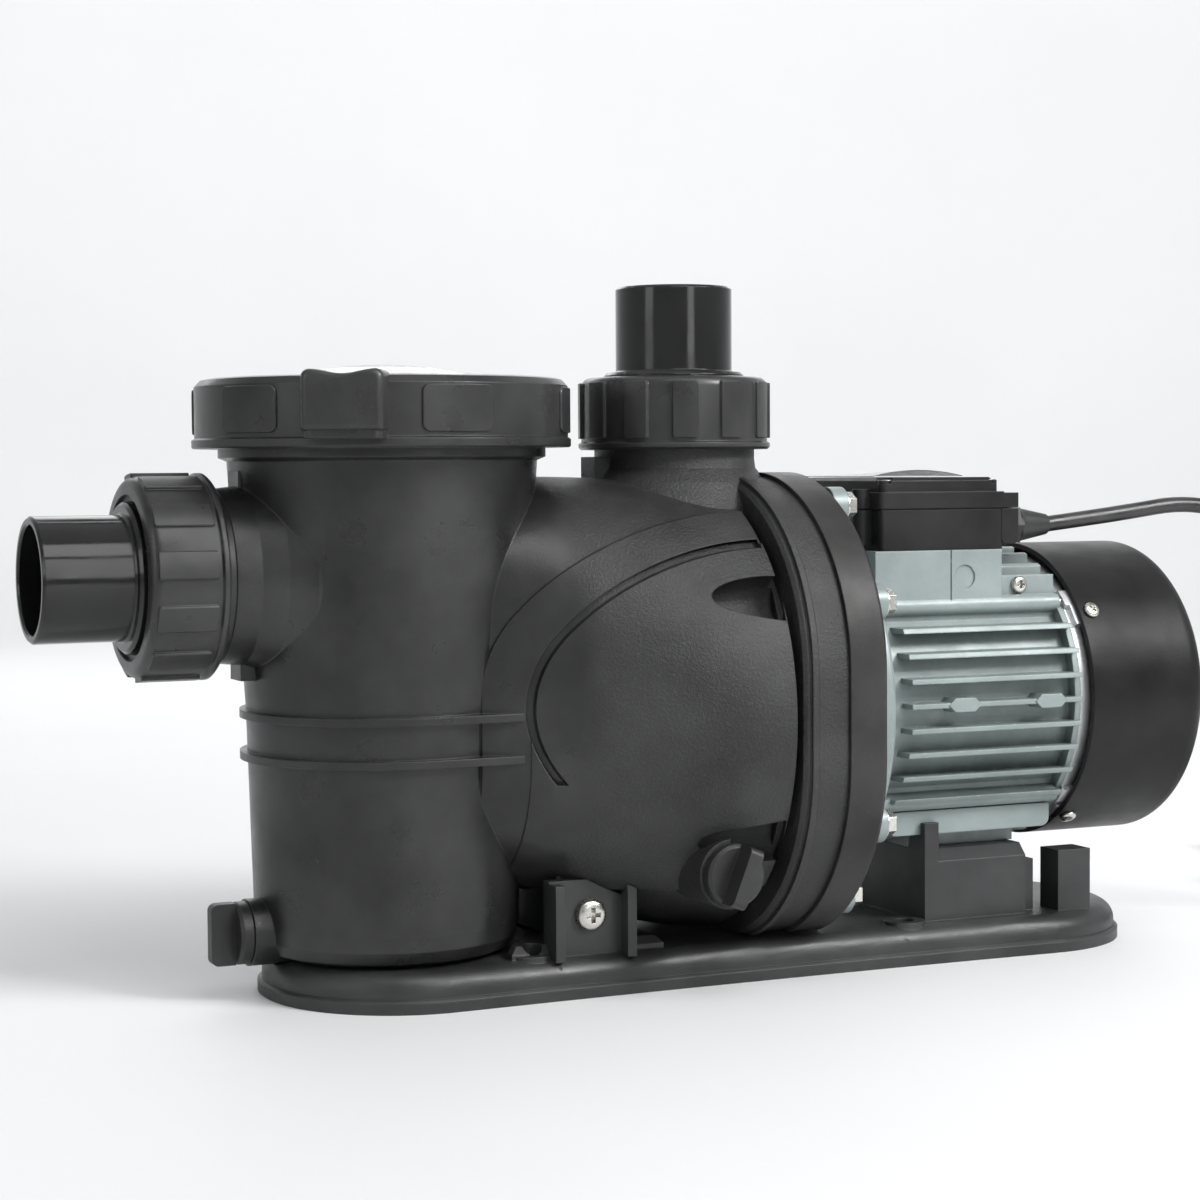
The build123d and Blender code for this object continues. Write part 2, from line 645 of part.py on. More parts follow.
def bearing_cages():
    """Nine balls held by a thin cage, in each bearing."""
    cages = []
    for x in BEARING_X:
        middle = x + BEARING_WIDTH / 2
        cage = turned_x(((middle - 1, 13.4), (middle - 1, 15.2), (middle + 1, 15.2),
                         (middle + 1, 13.4)))
        for step in range(9):
            cage = cage + Pos(*around_shaft(40 * step, 14.3, middle)) * Sphere(2.75)
        cages.append(cage)
    return together(cages)


def wave_washer():
    start = BEARING_X[1] + BEARING_WIDTH
    return turned_x(((start, 16.0), (start, 19.5), (start + 0.8, 19.5), (start + 0.8, 16.0)))


# ---------------------------------------------------------------- stator and housing
STATOR_BORE_R = 35.2
SLOTS = 24
SLOT_LOW_R = 38.0
SLOT_HIGH_R = 46.0


def stator_core():
    core = turned_x(((STATOR_X[0], STATOR_BORE_R), (STATOR_X[0], STATOR_R - RUNNING_GAP),
                     (STATOR_X[1], STATOR_R - RUNNING_GAP), (STATOR_X[1], STATOR_BORE_R)))
    slot = block((STATOR_X[0] - 1, STATOR_X[1] + 1), (-2.6, 2.6), (SLOT_LOW_R, SLOT_HIGH_R))
    slots = [Pos(0, 0, SHAFT_Z) * (Rot(360 / SLOTS * step, 0, 0) * slot) for step in range(SLOTS)]
    return core - slots


def windings():
    """The copper in the slots, joined by the bundled end turns."""
    front = turned_x(((76, 40), (78, 38), (90, 38), (92, 40), (92, 46), (90, 49), (78, 49), (76, 46)))
    rear = turned_x(((152, 40), (154, 38), (163, 38), (165, 40), (165, 46), (163, 49), (154, 49),
                     (152, 46)))
    bar = block((STATOR_X[0] - 2, STATOR_X[1] + 2), (-2.3, 2.3), (SLOT_LOW_R + 2.2, SLOT_HIGH_R - 0.4))
    bars = [Pos(0, 0, SHAFT_Z) * (Rot(360 / SLOTS * step, 0, 0) * bar) for step in range(SLOTS)]
    return front + rear + bars


def tie_bolt_places():
    """The four tie bolts' lines, as (y, z)."""
    places = []
    for y, rise in TIE_BOLTS:
        places.append((y, SHAFT_Z + rise))
        places.append((-y, SHAFT_Z + rise))
    return places


def housing_fins():
    """Side fins that lie flat, and upright fins above and below, all cut to one circle."""
    fins = []
    half = FIN_THICKNESS / 2
    for step in range(-4, 4):
        middle = SHAFT_Z + FIN_PITCH * step
        fins.append(block(FIN_X, (-FIN_R, FIN_R), (middle - half, middle + half)))
    for step in range(-3, 4):
        y = FIN_PITCH * step
        fins.append(block((PAD_X[1] - 2, FIN_X[1]), (y - half, y + half), (SHAFT_Z + 41, 180)))
        fins.append(block(FIN_X, (y - half, y + half), (41, SHAFT_Z - 47)))
    return fins


def fin_boss(x, side):
    """A six-sided lump on the middle fin."""
    outline = Polyline((-8, 0), (-5, 3), (5, 3), (8, 0), (5, -3), (-5, -3), close=True)
    place = Plane(origin=(x, side * 50, SHAFT_Z), x_dir=(1, 0, 0), z_dir=(0, side, 0))
    return extrude(place * make_face(outline), FIN_R - 50 + 0.6)


def motor_housing():
    """A ribbed tube with a terminal pad on top and a foot below."""
    x0, x1 = HOUSING_X, HOUSING_END_X
    finned = (rod_x(x0, x1, CORE_R) + housing_fins()) & rod_x(x0, x1, FIN_R + 0.6)
    rims = [rod_x(x0, x0 + 3, 62.0), rod_x(x1 - 3, x1, 62.0)]
    pad = block(PAD_X, (-PAD_HALF, PAD_HALF), (SHAFT_Z + 41, PAD_TOP_Z))
    plates = [block((PAD_X[1] - 1, 166), sorted((side * 40, side * -EARTH_Y)), (147.5, 160))
              for side in (-1, 1)]
    keel = block((82, 165), (-42, 42), (47.6, 58))
    keel = fillet(keel.edges().filter_by(Axis.Y).group_by(Axis.Z)[0], 4.0)
    foot = block((98, 152), (-32, 32), (41, 50))
    tubes = [rod_x(x0, x1 - 2, 4.0, y, z) for y, z in tie_bolt_places()]
    webs = []
    for y, z in tie_bolt_places():
        webs.append(block((x0, x1 - 2), sorted((y, 0.7 * y)), sorted((z, SHAFT_Z + 0.78 * (z - SHAFT_Z)))))
    bosses = [fin_boss(x, side) for x in (106, 150) for side in (-1, 1)]
    shell = finned + rims + [pad, keel, foot] + plates + tubes + webs + bosses
    shell = shell - rod_x(x0, x1, STATOR_R)
    shell = shell - block((84, 131), (-26, 26), (150, PAD_TOP_Z + 1))
    shell = shell - rod((117, -PAD_HALF, 160), (0, 1, 0), 5.2, 0.7)
    shell = shell - block((109.7, 110.3), (-PAD_HALF, -PAD_HALF + 0.5), (147, PAD_TOP_Z))
    shell = shell - rod((EARTH_X, EARTH_Y, EARTH_Z), (0, 1, 0), 1.6, 8.0)
    for y, z in tie_bolt_places():
        shell = shell - rod_x(x0, x1, 2.5, y, z)
    for y in (-20, 20):
        shell = shell - rod_z(41, 52, 2.5, x=125, y=y)
    return shell


def drive_end_shield():
    """The front motor end: a wide dish with bolt lugs and the front bearing seat."""
    rim, web = SHIELD_RIM_X, SHIELD_RIM_X - 4.5
    dish = turned_x(((FLANGE_X, 80), (FLANGE_X, 86), (rim - 2, 86), (rim, 84), (rim, 68), (HOUSING_X, 66),
                     (HOUSING_X, 56), (64, 54), (64, 21), (web, 21), (web, 80)))
    hub = turned_x(((web, 11.0), (web, 27), (BEARING_X[0] + BEARING_WIDTH, 27),
                    (BEARING_X[0] + BEARING_WIDTH, 11.0)))
    shield = dish + hub
    for degrees, radius in flange_bolt_places():
        place = around_shaft(degrees, radius, FLANGE_X)
        lug = rod(place, (1, 0, 0), 8.0, LUG_THICKNESS)
        arm = block((FLANGE_X, FLANGE_X + LUG_THICKNESS), (-8, 8), (80, radius))
        shield = shield + lug + Pos(0, 0, SHAFT_Z) * (Rot(degrees - 90, 0, 0) * arm)
    shield = shield - rod_x(BEARING_X[0], 80, BEARING_R)
    for degrees, radius in flange_bolt_places():
        place = around_shaft(degrees, radius)
        shield = shield - rod_x(FLANGE_X - 1, 70, BOLT_R + 0.3, place[1], place[2])
        shield = shield - rod_x(WASHER_X, 70, 7.0, place[1], place[2])
    for y, z in tie_bolt_places():
        shield = shield - rod_x(62, 72, 2.5, y, z)
    return shield


def rear_end_shield():
    """The rear motor end with the rear bearing seat and four lugs for the fan cover."""
    end = BEARING_X[1] + BEARING_WIDTH + 2.5
    disc = turned_x(((HOUSING_END_X, 30), (HOUSING_END_X, 62), (174, 62), (174, 24), (end, 24),
                     (end, 9.2), (176, 9.2), (176, 16), (HOUSING_END_X, 16)))
    shield = disc + turned_x(((HOUSING_END_X, 19), (HOUSING_END_X, 31), (174, 31), (174, 19)))
    ears = [rod_x(HOUSING_END_X, 174, 5.0, y, z) for y, z in tie_bolt_places()]
    shield = (shield + ears) & rod_x(HOUSING_END_X, end, COVER_R - COVER_WALL - 0.2)
    for step in range(4):
        lug = block((170, 184), (-5, 5), (56, 64.4))
        shield = shield + Pos(0, 0, SHAFT_Z) * (Rot(cover_screw_degrees(step) - 90, 0, 0) * lug)
    shield = shield - rod_x(160, BEARING_X[1] + BEARING_WIDTH + 0.9, BEARING_R)
    shield = shield - rod_x(160, 190, 9.2)
    for y, z in tie_bolt_places():
        shield = shield - rod_x(160, 190, 2.5, y, z)
    for step in range(4):
        shield = shield - cover_screw_rod(step, 54, 70, 1.6)
    return shield


def tie_bolts():
    bolts = []
    for y, z in tie_bolt_places():
        bolts.append(rod_x(63, 175, 2.4, y, z) + rod_x(174, 177.5, 3.2, y, z))
    return together(bolts)


# ---------------------------------------------------------------- fan and cover
def cover_screw_degrees(step):
    return 45 + COVER_SCREW_TURN + 90 * step


def cover_screw_rod(step, low, high, radius):
    """A radial rod at the fan cover's screw line, between two distances from the shaft."""
    angle = radians(cover_screw_degrees(step))
    outwards = (0, cos(angle), sin(angle))
    start = around_shaft(cover_screw_degrees(step), low, 178.0)
    return rod(start, outwards, radius, high - low)


def fan_cover():
    """A drum with a rounded rear edge and a grille of ring slots."""
    r, x0, x1, wall = COVER_R, COVER_X, COVER_END_X, COVER_WALL
    drum = rod_x(x0, x1, r)
    drum = fillet(drum.faces().sort_by(Axis.X)[-1].edges(), 9.0)
    inner = rod_x(x0, x1 - wall, r - wall)
    inner = fillet(inner.faces().sort_by(Axis.X)[-1].edges(), 7.0)
    cover = drum - inner
    slots = []
    for inner_r, outer_r in ((18, 22), (27, 31), (36, 40), (45, 49)):
        ring = rod_x(x1 - 4, x1 + 1, outer_r) - rod_x(x1 - 4, x1 + 1, inner_r)
        slots.append(ring)
    spokes = []
    for step in range(4):
        spoke = block((x1 - 5, x1 + 2), (-60, 60), (-2.2, 2.2))
        spokes.append(Pos(0, 0, SHAFT_Z) * (Rot(45 * step, 0, 0) * spoke))
    grille = (Part() + slots) - spokes
    cover = cover - grille
    for step in range(4):
        cover = cover - cover_screw_rod(step, 60, 72, 2.3)
    return cover


def fan_cover_screws():
    """Radial pan-head screws with a cross recess."""
    screws = []
    for step in range(4):
        shank = cover_screw_rod(step, 56, COVER_R, 1.55)
        head = cover_screw_rod(step, COVER_R, COVER_R + 2.2, 3.7)
        screws.append(shank + head)
    return together(screws)


def cooling_fan():
    hub = turned_x(((196, 7.0), (196, 12), (218, 12), (218, 7.0)))
    disc = turned_x(((196, 11), (196, 50), (198, 50), (198, 11)))
    fan = hub + disc
    for step in range(7):
        blade = block((197.5, 216), (-1.1, 1.1), (11, 52))
        fan = fan + Pos(0, 0, SHAFT_Z) * (Rot(360 / 7 * step, 0, 0) * blade)
    return fan


# ---------------------------------------------------------------- terminal box
def lid_screw_places():
    """The four corners of the terminal box, inside its walls."""
    inset = 5.0
    places = []
    for x in (BOX_X[0] + inset, BOX_X[1] - inset):
        for y in (-BOX_HALF + inset, BOX_HALF - inset):
            places.append((x, y))
    return places


def terminal_box_base():
    x0, x1 = BOX_X
    tray = block(BOX_X, (-BOX_HALF, BOX_HALF), (PAD_TOP_Z, BOX_BASE_Z - 0.6))
    tray = fillet(tray.edges().filter_by(Axis.Z), 2.0)
    tray = tray - block((x0 + 2.5, x1 - 2.5), (-BOX_HALF + 2.5, BOX_HALF - 2.5),
                        (PAD_TOP_Z + 2.5, BOX_BASE_Z))
    for x, y in lid_screw_places():
        tray = tray + rod_z(PAD_TOP_Z + 1, BOX_BASE_Z - 0.6, 4.4, x=x, y=y)
    socket = block((x1 - 1, x1 + 7.6), (GLAND_Y - 10, GLAND_Y + 10), (174, BOX_BASE_Z - 0.6))
    socket = fillet(socket.edges().filter_by(Axis.Y).group_by(Axis.Z)[0], 2.5)
    tray = tray + socket
    post = rod_z(174, BOX_BASE_Z - 0.6, 3.8, x=x0 - 3.0, y=-33) + block(
        (x0 - 3, x0 + 1), (-36.8, -29.2), (174, BOX_BASE_Z - 0.6))
    tray = tray + post
    for x, y in lid_screw_places():
        tray = tray - rod_z(176, BOX_BASE_Z, 1.5, x=x, y=y)
    tray = tray - block((86, 129), (-24, 24), (PAD_TOP_Z - 1, PAD_TOP_Z + 3))
    return tray - rod_x(x1 - 4, x1 + 9, 6.0, y=GLAND_Y, z=GLAND_Z)


def terminal_box_gasket():
    x0, x1 = BOX_X
    low, high = BOX_BASE_Z - 0.6, BOX_BASE_Z
    rim = block((x0 + 0.6, x1 - 0.6), (-BOX_HALF + 0.6, BOX_HALF - 0.6), (low, high))
    rim = rim - block((x0 + 2.3, x1 - 2.3), (-BOX_HALF + 2.3, BOX_HALF - 2.3), (low, high))
    return rim


def terminal_box_lid():
    """A two-tier lid with a raised middle."""
    x0, x1 = BOX_X
    tier = block((x0 - 0.8, x1 + 0.8), (-BOX_HALF - 0.8, BOX_HALF + 0.8), (BOX_BASE_Z, 197.0))
    crown = block((x0 + 1.4, x1 - 1.4), (-BOX_HALF + 1.4, BOX_HALF - 1.4), (197.0, BOX_TOP_Z))
    tier = fillet(tier.edges().filter_by(Axis.Z), 2.5)
    crown = fillet(crown.edges().filter_by(Axis.Z), 3.0)
    crown = chamfer(crown.faces().sort_by(Axis.Z)[-1].edges(), 1.4)
    nose = block((x1 - 1, x1 + 7.6), (GLAND_Y - 10, GLAND_Y + 10), (BOX_BASE_Z, 196.4))
    post = rod_z(BOX_BASE_Z, 198.4, 3.8, x=x0 - 3.0, y=-33)
    post = post + block((x0 - 3, x0 + 1), (-36.8, -29.2), (BOX_BASE_Z, 195))
    lid = tier + crown + nose + post
    lid = lid - block((x0 + 9.5, x1 - 9.5), (-BOX_HALF + 2.5, BOX_HALF - 2.5), (BOX_BASE_Z, 200.8))
    for x, y in lid_screw_places():
        lid = lid - rod_z(BOX_BASE_Z, 205, 1.7, x=x, y=y) - rod_z(200.5, 205, 3.6, x=x, y=y)
    return lid


def terminal_lid_screws():
    screws = []
    for x, y in lid_screw_places():
        screws.append(rod_z(177, 200.6, 1.45, x=x, y=y) + rod_z(200.5, 202.4, 3.2, x=x, y=y))
    return together(screws)


def terminal_block():
    """A three-way screw terminal strip."""
    strip = block((88, 98), (-20, 20), (PAD_TOP_Z + 3.2, 187))
    strip = strip - [rod_z(182, 190, 2.6, x=93, y=y) for y in (-12.5, 0, 12.5)]
    strip = strip + [rod_z(181.5, 184.5, 2.2, x=93, y=y) for y in (-12.5, 0, 12.5)]
    return strip + block((84, 102), (-27, 27), (PAD_TOP_Z + 2.5, PAD_TOP_Z + 4.5))


def run_capacitor():
    can = rod((116.4, -16, 187.2), (0, 1, 0), 12.3, 50)
    can = chamfer(can.faces().sort_by(Axis.Y)[-1].edges(), 1.2)
    return can + [block((111, 112), (-21, -15), (184, 190)), block((121, 122), (-21, -15), (184, 190))]


def cable_gland():
    """A screwed gland: thread, hexagon and a domed cap round the cord."""
    x1 = BOX_X[1] + 7.6
    z = GLAND_Z
    hexagon = Plane(origin=(x1, GLAND_Y, z), x_dir=(0, 1, 0), z_dir=(1, 0, 0))
    body = extrude(hexagon * RegularPolygon(9.0, 6), 4.5)
    cap = turned_x(((x1 + 4, 0), (x1 + 4, 8.2), (x1 + 6.5, 7.4), (GLAND_END_X, 4.6),
                    (GLAND_END_X, 0)), z=z)
    thread = rod_x(x1 - 9, x1 + 1, 5.9, y=GLAND_Y, z=z)
    gland = body + Pos(0, GLAND_Y, 0) * cap + thread
    return gland - rod_x(x1 - 10, GLAND_END_X, CORD_R, y=GLAND_Y, z=z)


def earth_screw():
    place = (EARTH_X, EARTH_Y, EARTH_Z)
    shank = rod(place, (0, 1, 0), 1.55, 7.5)
    head = rod(place, (0, -1, 0), 3.2, 2.6)
    washer = rod(place, (0, -1, 0), 3.8, 0.8)
    return shank + head + washer


# ---------------------------------------------------------------- fasteners at the flange
def flange_bolts():
    """Hexagon bolts from the motor side into the casing's inserts."""
    bolts = []
    for degrees, radius in flange_bolt_places():
        place = around_shaft(degrees, radius)
        shank = rod_x(CASING_X + 5, WASHER_X + 2, BOLT_R, place[1], place[2])
        head_plane = Plane(origin=(WASHER_X + 1.2, place[1], place[2]), z_dir=(1, 0, 0))
        bolts.append(shank + extrude(head_plane * RegularPolygon(5.8, 6), 4.2))
    return together(bolts)


def flange_washers():
    washers = []
    for degrees, radius in flange_bolt_places():
        place = around_shaft(degrees, radius)
        ring = rod_x(WASHER_X, WASHER_X + 1.2, 6.8, place[1], place[2])
        washers.append(ring - rod_x(WASHER_X, WASHER_X + 1.2, BOLT_R + 0.02, place[1], place[2]))
    return together(washers)


def flange_inserts():
    inserts = []
    for degrees, radius in flange_bolt_places():
        place = around_shaft(degrees, radius)
        sleeve = rod_x(CASING_X + 4, SPLIT_X - 0.4, 4.98, place[1], place[2])
        inserts.append(sleeve - rod_x(CASING_X + 4, SPLIT_X, BOLT_R + 0.02, place[1], place[2]))
    return together(inserts)


def body_mount_screws():
    """Cross-head screws with washers that hold the pump body to the base brackets."""
    screws = []
    for side in (-1, 1):
        outer = BRACKET_Y + 6.0
        shank = rod((BRACKET_X, side * (BRACKET_Y - 17), BRACKET_SCREW_Z), (0, side, 0), 2.55, 23.5)
        washer = rod((BRACKET_X, side * outer, BRACKET_SCREW_Z), (0, side, 0), 6.6, 1.2)
        head = rod((BRACKET_X, side * (outer + 1.1), BRACKET_SCREW_Z), (0, side, 0), 4.6, 2.8)
        screws.append(shank + washer + head)
    return together(screws)


def motor_foot_screws():
    screws = []
    for y in (-20, 20):
        screws.append(rod_z(30.5, 50, 2.45, x=125, y=y) + rod_z(27.6, 31, 4.6, x=125, y=y))
    return together(screws)


# ---------------------------------------------------------------- base
def base_outline(inset):
    """The base's plan: nearly half-round ends and long sides that draw in at the waist."""
    half_x = (BASE_X[1] - BASE_X[0]) / 2 - inset
    half_y = BASE_HALF - inset
    corner = BASE_CORNER - inset
    waist = half_y - WAIST_DEPTH
    flat_x = half_x - corner
    knee = corner * (1 - cos(pi / 4))
    edges = Curve()
    for side in (-1, 1):
        edges += Line((side * half_x, -half_y + corner), (side * half_x, half_y - corner))
        edges += ThreePointArc((-flat_x, side * half_y), (0, side * waist), (flat_x, side * half_y))
        for end in (-1, 1):
            edges += ThreePointArc(
                (end * half_x, side * (half_y - corner)),
                (end * (half_x - knee), side * (half_y - knee)),
                (end * flat_x, side * half_y))
    return Pos((BASE_X[0] + BASE_X[1]) / 2, 0, BASE_Z) * make_face(edges)


def motor_saddle():
    """A hollow pedestal under the motor's foot, with a cheek each side and a low step behind."""
    pedestal = block((98, 150), (-46, 46), (DECK_Z - 1, 40.95))
    pedestal = chamfer(pedestal.edges().filter_by(Axis.X).group_by(Axis.Z)[-1], 5.0)
    step = block((149, 158), (-40, 40), (DECK_Z - 1, 33))
    cheeks = []
    for side in (-1, 1):
        cheeks.append(block((98, 105), sorted((side * 34.2, side * 46)), (DECK_Z - 1, 47.3)))
        cheeks.append(block((98, 105), sorted((side * 42.6, side * 46)), (DECK_Z - 1, 53)))
    hollow = block((102, 146), (-42, 42), (DECK_Z - 2, 31))
    return pedestal + step + cheeks - hollow


def bracket(side):
    """An upright plate with two cheeks; a screw through it holds the pump body."""
    x0, x1 = BRACKET_X - 18, BRACKET_X + 18
    near = side * (BRACKET_Y + 0.05)
    far = side * (BRACKET_Y + 6)
    out = side * (BRACKET_Y + 13)
    plate = block((x0, x1), sorted((near, far)), (DECK_Z - 1, 41))
    cheeks = [block((x, x + 4), sorted((near, out)), (DECK_Z - 1, 40)) for x in (x0, x1 - 4)]
    return plate + cheeks


def base_ribs():
    """Thin cross ribs and a spine under the deck."""
    top = DECK_Z - BASE_WALL + 1
    ribs = block((BASE_X[0] + 6, BASE_X[1] - 6), (-1.5, 1.5), (BASE_Z, top))
    for x in range(-140, 200, 48):
        ribs = ribs + block((x - 1.5, x + 1.5), (-BASE_HALF, BASE_HALF), (BASE_Z, top))
    return ribs & extrude(base_outline(BASE_WALL + 1), top - BASE_Z)


def base_plate():
    lip = extrude(base_outline(0), LIP_Z - BASE_Z)
    lip = chamfer(lip.faces().sort_by(Axis.Z)[-1].edges(), 1.0)
    deck = extrude(base_outline(1.8), DECK_Z - BASE_Z)
    deck = fillet(deck.faces().sort_by(Axis.Z)[-1].edges(), DECK_ROUND)
    base = lip + deck - extrude(base_outline(BASE_WALL + 3), DECK_Z - BASE_WALL - BASE_Z)
    pad = block(BRACKET_PAD_X, (-BRACKET_Y - 5, BRACKET_Y + 5), (DECK_Z - 1, PAD_Z))
    pad = chamfer(pad.faces().sort_by(Axis.Z)[-1].edges(), 3.0) - rod_z(0, 30, POT_LOW_R + 2, x=POT_X)
    brackets = (bracket(-1) + bracket(1)) - volute_skin(STEP_DEPTHS[1] + 0.4)
    base = base + [base_ribs(), pad, motor_saddle(), brackets]
    for side in (-1, 1):
        base = base + block((166, 183), sorted((side * 34, side * 48)), (DECK_Z - 1, 37))
        for end in (-1, 1):
            base = base + rod_z(BASE_Z, DECK_Z + 1.5, HOLE_BOSS_R, x=end * HOLE_X, y=side * HOLE_Y)
    base = base - rod_x(BASE_X[0] - 5, POT_X, 14.3, z=POT_PLUG_Z)
    for side in (-1, 1):
        for end in (-1, 1):
            base = base - rod_z(BASE_Z - 1, 20, HOLE_R, x=end * HOLE_X, y=side * HOLE_Y)
        base = base - rod((BRACKET_X, side * (BRACKET_Y - 4), BRACKET_SCREW_Z), (0, side, 0), 2.7, 12)
    for y in (-20, 20):
        base = base - rod_z(27, 45, 2.7, x=125, y=y)
    return base


# ---------------------------------------------------------------- power cord and plug
def cord_tube(route, label):
    """Straight runs joined by arcs as large as the runs allow."""
    points = [Vector(*place) for place in route]
    radii = []
    for before, here, after in zip(points, points[1:], points[2:]):
        turn = radians((here - before).get_angle(after - here))
        shorter = min((here - before).length, (after - here).length)
        radii.append(0.45 * shorter / tan(turn / 2))
    print(label, "radii", [round(radius) for radius in radii])
    path = FilletPolyline(*points, radius=radii)
    start = Plane(origin=points[0], z_dir=points[1] - points[0])
    tube = sweep(start * Circle(CORD_R), path=path)
    print(label, "length", round(path.length), "volume ratio",
          round(tube.volume / (pi * CORD_R ** 2 * path.length), 3))
    return tube


def power_cord():
    return cord_tube(CORD_ROUTE, "cord")


def power_cord_coil():
    """The outer shape of the standing coil of spare cord."""
    height = 2 * CORD_R * (COIL_TURNS + 1)
    return turned_z(((COIL_MID_R - CORD_R, 0.05), (COIL_MID_R + CORD_R, 0.05),
                     (COIL_MID_R + CORD_R, height), (COIL_MID_R - CORD_R, height)),
                    x=COIL_X, y=COIL_Y)


def power_cord_tail():
    return cord_tube(TAIL_ROUTE, "tail")


RELIEF_LENGTH = 28.0
PLUG_LENGTH = 32.0


def plug_body():
    """A moulded plug with a tapered strain relief."""
    x, y, z = PLUG_PLACE
    start = Plane(origin=(x, y, z), x_dir=(1, 0, 0), z_dir=(0, 1, 0))
    relief = loft([start * Circle(4.4), start.offset(RELIEF_LENGTH) * Circle(7.0)])
    grip = loft([start.offset(RELIEF_LENGTH) * RectangleRounded(17, 15, 6),
                 start.offset(RELIEF_LENGTH + 12) * RectangleRounded(27, 23.5, 6)])
    head = extrude(start.offset(RELIEF_LENGTH + 12) * RectangleRounded(27, 23.5, 6), 20)
    return relief + grip + head


def plug_pins():
    """Two flat blades and a round earth pin."""
    x, y, z = PLUG_PLACE
    face = y + RELIEF_LENGTH + PLUG_LENGTH
    pins = [block((x + side * 6.3 - 0.75, x + side * 6.3 + 0.75), (face, face + 17), (z, z + 6.3))
            for side in (-1, 1)]
    pins.append(rod((x, face, z - 6.0), (0, 1, 0), 2.4, 20))
    return together(pins)


# ---------------------------------------------------------------- all the pieces
PIECES = {
    "base_plate": base_plate,
    "pump_body": pump_body,
    "seal_plate": seal_plate,
    "lid_ring": lid_ring,
    "lid_dome": lid_dome,
    "lid_o_ring": lid_o_ring,
    "strainer_basket": strainer_basket,
    "basket_handle": basket_handle,
    "suction_spigot": lambda: union_spigot("suction"),
    "suction_union_nut": lambda: union_nut("suction"),
    "suction_o_ring": lambda: union_o_ring("suction"),
    "discharge_spigot": lambda: union_spigot("discharge"),
    "discharge_union_nut": lambda: union_nut("discharge"),
    "discharge_o_ring": lambda: union_o_ring("discharge"),
    "pot_drain_plug": lambda: drain_plug(pot_plug_place()),
    "pot_drain_o_ring": lambda: drain_plug_o_ring(pot_plug_place()),
    "volute_drain_plug": lambda: drain_plug(volute_plug_place()),
    "volute_drain_o_ring": lambda: drain_plug_o_ring(volute_plug_place()),
    "diffuser": diffuser,
    "impeller": impeller,
    "impeller_nut": impeller_nut,
    "casing_o_ring": casing_o_ring,
    "seal_seat": seal_seat,
    "seal_head": seal_head,
    "seal_spring": seal_spring,
    "water_slinger": water_slinger,
    "motor_shaft": motor_shaft,
    "rotor_core": rotor_core,
    "rotor_end_rings": rotor_end_rings,
    "bearing_inner_races": lambda: bearing_rings(JOURNAL_R, 11.45),
    "bearing_outer_races": lambda: bearing_rings(17.15, BEARING_R),
    "bearing_cages": bearing_cages,
    "wave_washer": wave_washer,
    "stator_core": stator_core,
    "windings": windings,
    "motor_housing": motor_housing,
    "drive_end_shield": drive_end_shield,
    "rear_end_shield": rear_end_shield,
    "tie_bolts": tie_bolts,
    "fan_cover": fan_cover,
    "fan_cover_screws": fan_cover_screws,
    "cooling_fan": cooling_fan,
    "terminal_box_base": terminal_box_base,
    "terminal_box_gasket": terminal_box_gasket,
    "terminal_box_lid": terminal_box_lid,
    "terminal_lid_screws": terminal_lid_screws,
    "terminal_block": terminal_block,
    "run_capacitor": run_capacitor,
    "cable_gland": cable_gland,
    "earth_screw": earth_screw,
    "flange_bolts": flange_bolts,
    "flange_washers": flange_washers,
    "flange_inserts": flange_inserts,
    "body_mount_screws": body_mount_screws,
    "motor_foot_screws": motor_foot_screws,
    "power_cord": power_cord,
    "power_cord_coil": power_cord_coil,
    "power_cord_tail": power_cord_tail,
    "plug_body": plug_body,
    "plug_pins": plug_pins,
}


def lifted(piece):
    """The piece raised from where it is drawn to where it stands on its base."""
    return together([solid.moved(Location((0, 0, PLINTH))) for solid in piece.solids()])


ON_THE_FLOOR = ("power_cord", "power_cord_coil", "power_cord_tail", "plug_body", "plug_pins")

os.makedirs("parts", exist_ok=True)
for name, make in PIECES.items():
    piece = make()
    if name not in ON_THE_FLOOR:
        piece = lifted(piece)
    export_step(piece, f"parts/{name}.step")
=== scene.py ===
"""Pool pump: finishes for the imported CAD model, its mains cord, and small details made as meshes."""
import json
from math import cos, pi, radians, sin

import bmesh
import bpy
from mathutils import Matrix, Vector


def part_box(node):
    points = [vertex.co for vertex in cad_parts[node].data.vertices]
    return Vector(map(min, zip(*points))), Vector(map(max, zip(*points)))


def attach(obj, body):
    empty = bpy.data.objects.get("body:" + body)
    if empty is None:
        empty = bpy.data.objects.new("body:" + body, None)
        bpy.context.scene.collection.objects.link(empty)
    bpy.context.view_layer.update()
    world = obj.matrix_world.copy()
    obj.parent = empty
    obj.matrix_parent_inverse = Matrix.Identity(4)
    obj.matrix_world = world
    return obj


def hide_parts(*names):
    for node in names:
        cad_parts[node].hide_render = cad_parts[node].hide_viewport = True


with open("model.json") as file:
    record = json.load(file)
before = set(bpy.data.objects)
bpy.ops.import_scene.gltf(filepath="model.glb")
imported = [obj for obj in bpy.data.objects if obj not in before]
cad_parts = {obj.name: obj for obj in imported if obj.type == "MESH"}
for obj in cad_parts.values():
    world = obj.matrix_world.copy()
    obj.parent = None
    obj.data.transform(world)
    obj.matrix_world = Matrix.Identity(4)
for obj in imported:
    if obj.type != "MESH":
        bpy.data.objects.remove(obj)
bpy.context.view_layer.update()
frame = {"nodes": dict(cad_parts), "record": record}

NODES = frame["nodes"]


def middle(node):
    """The middle of a CAD node's box."""
    low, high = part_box(node)
    return (low + high) / 2


SHAFT = middle("motor_shaft")
POT = middle("strainer_basket")

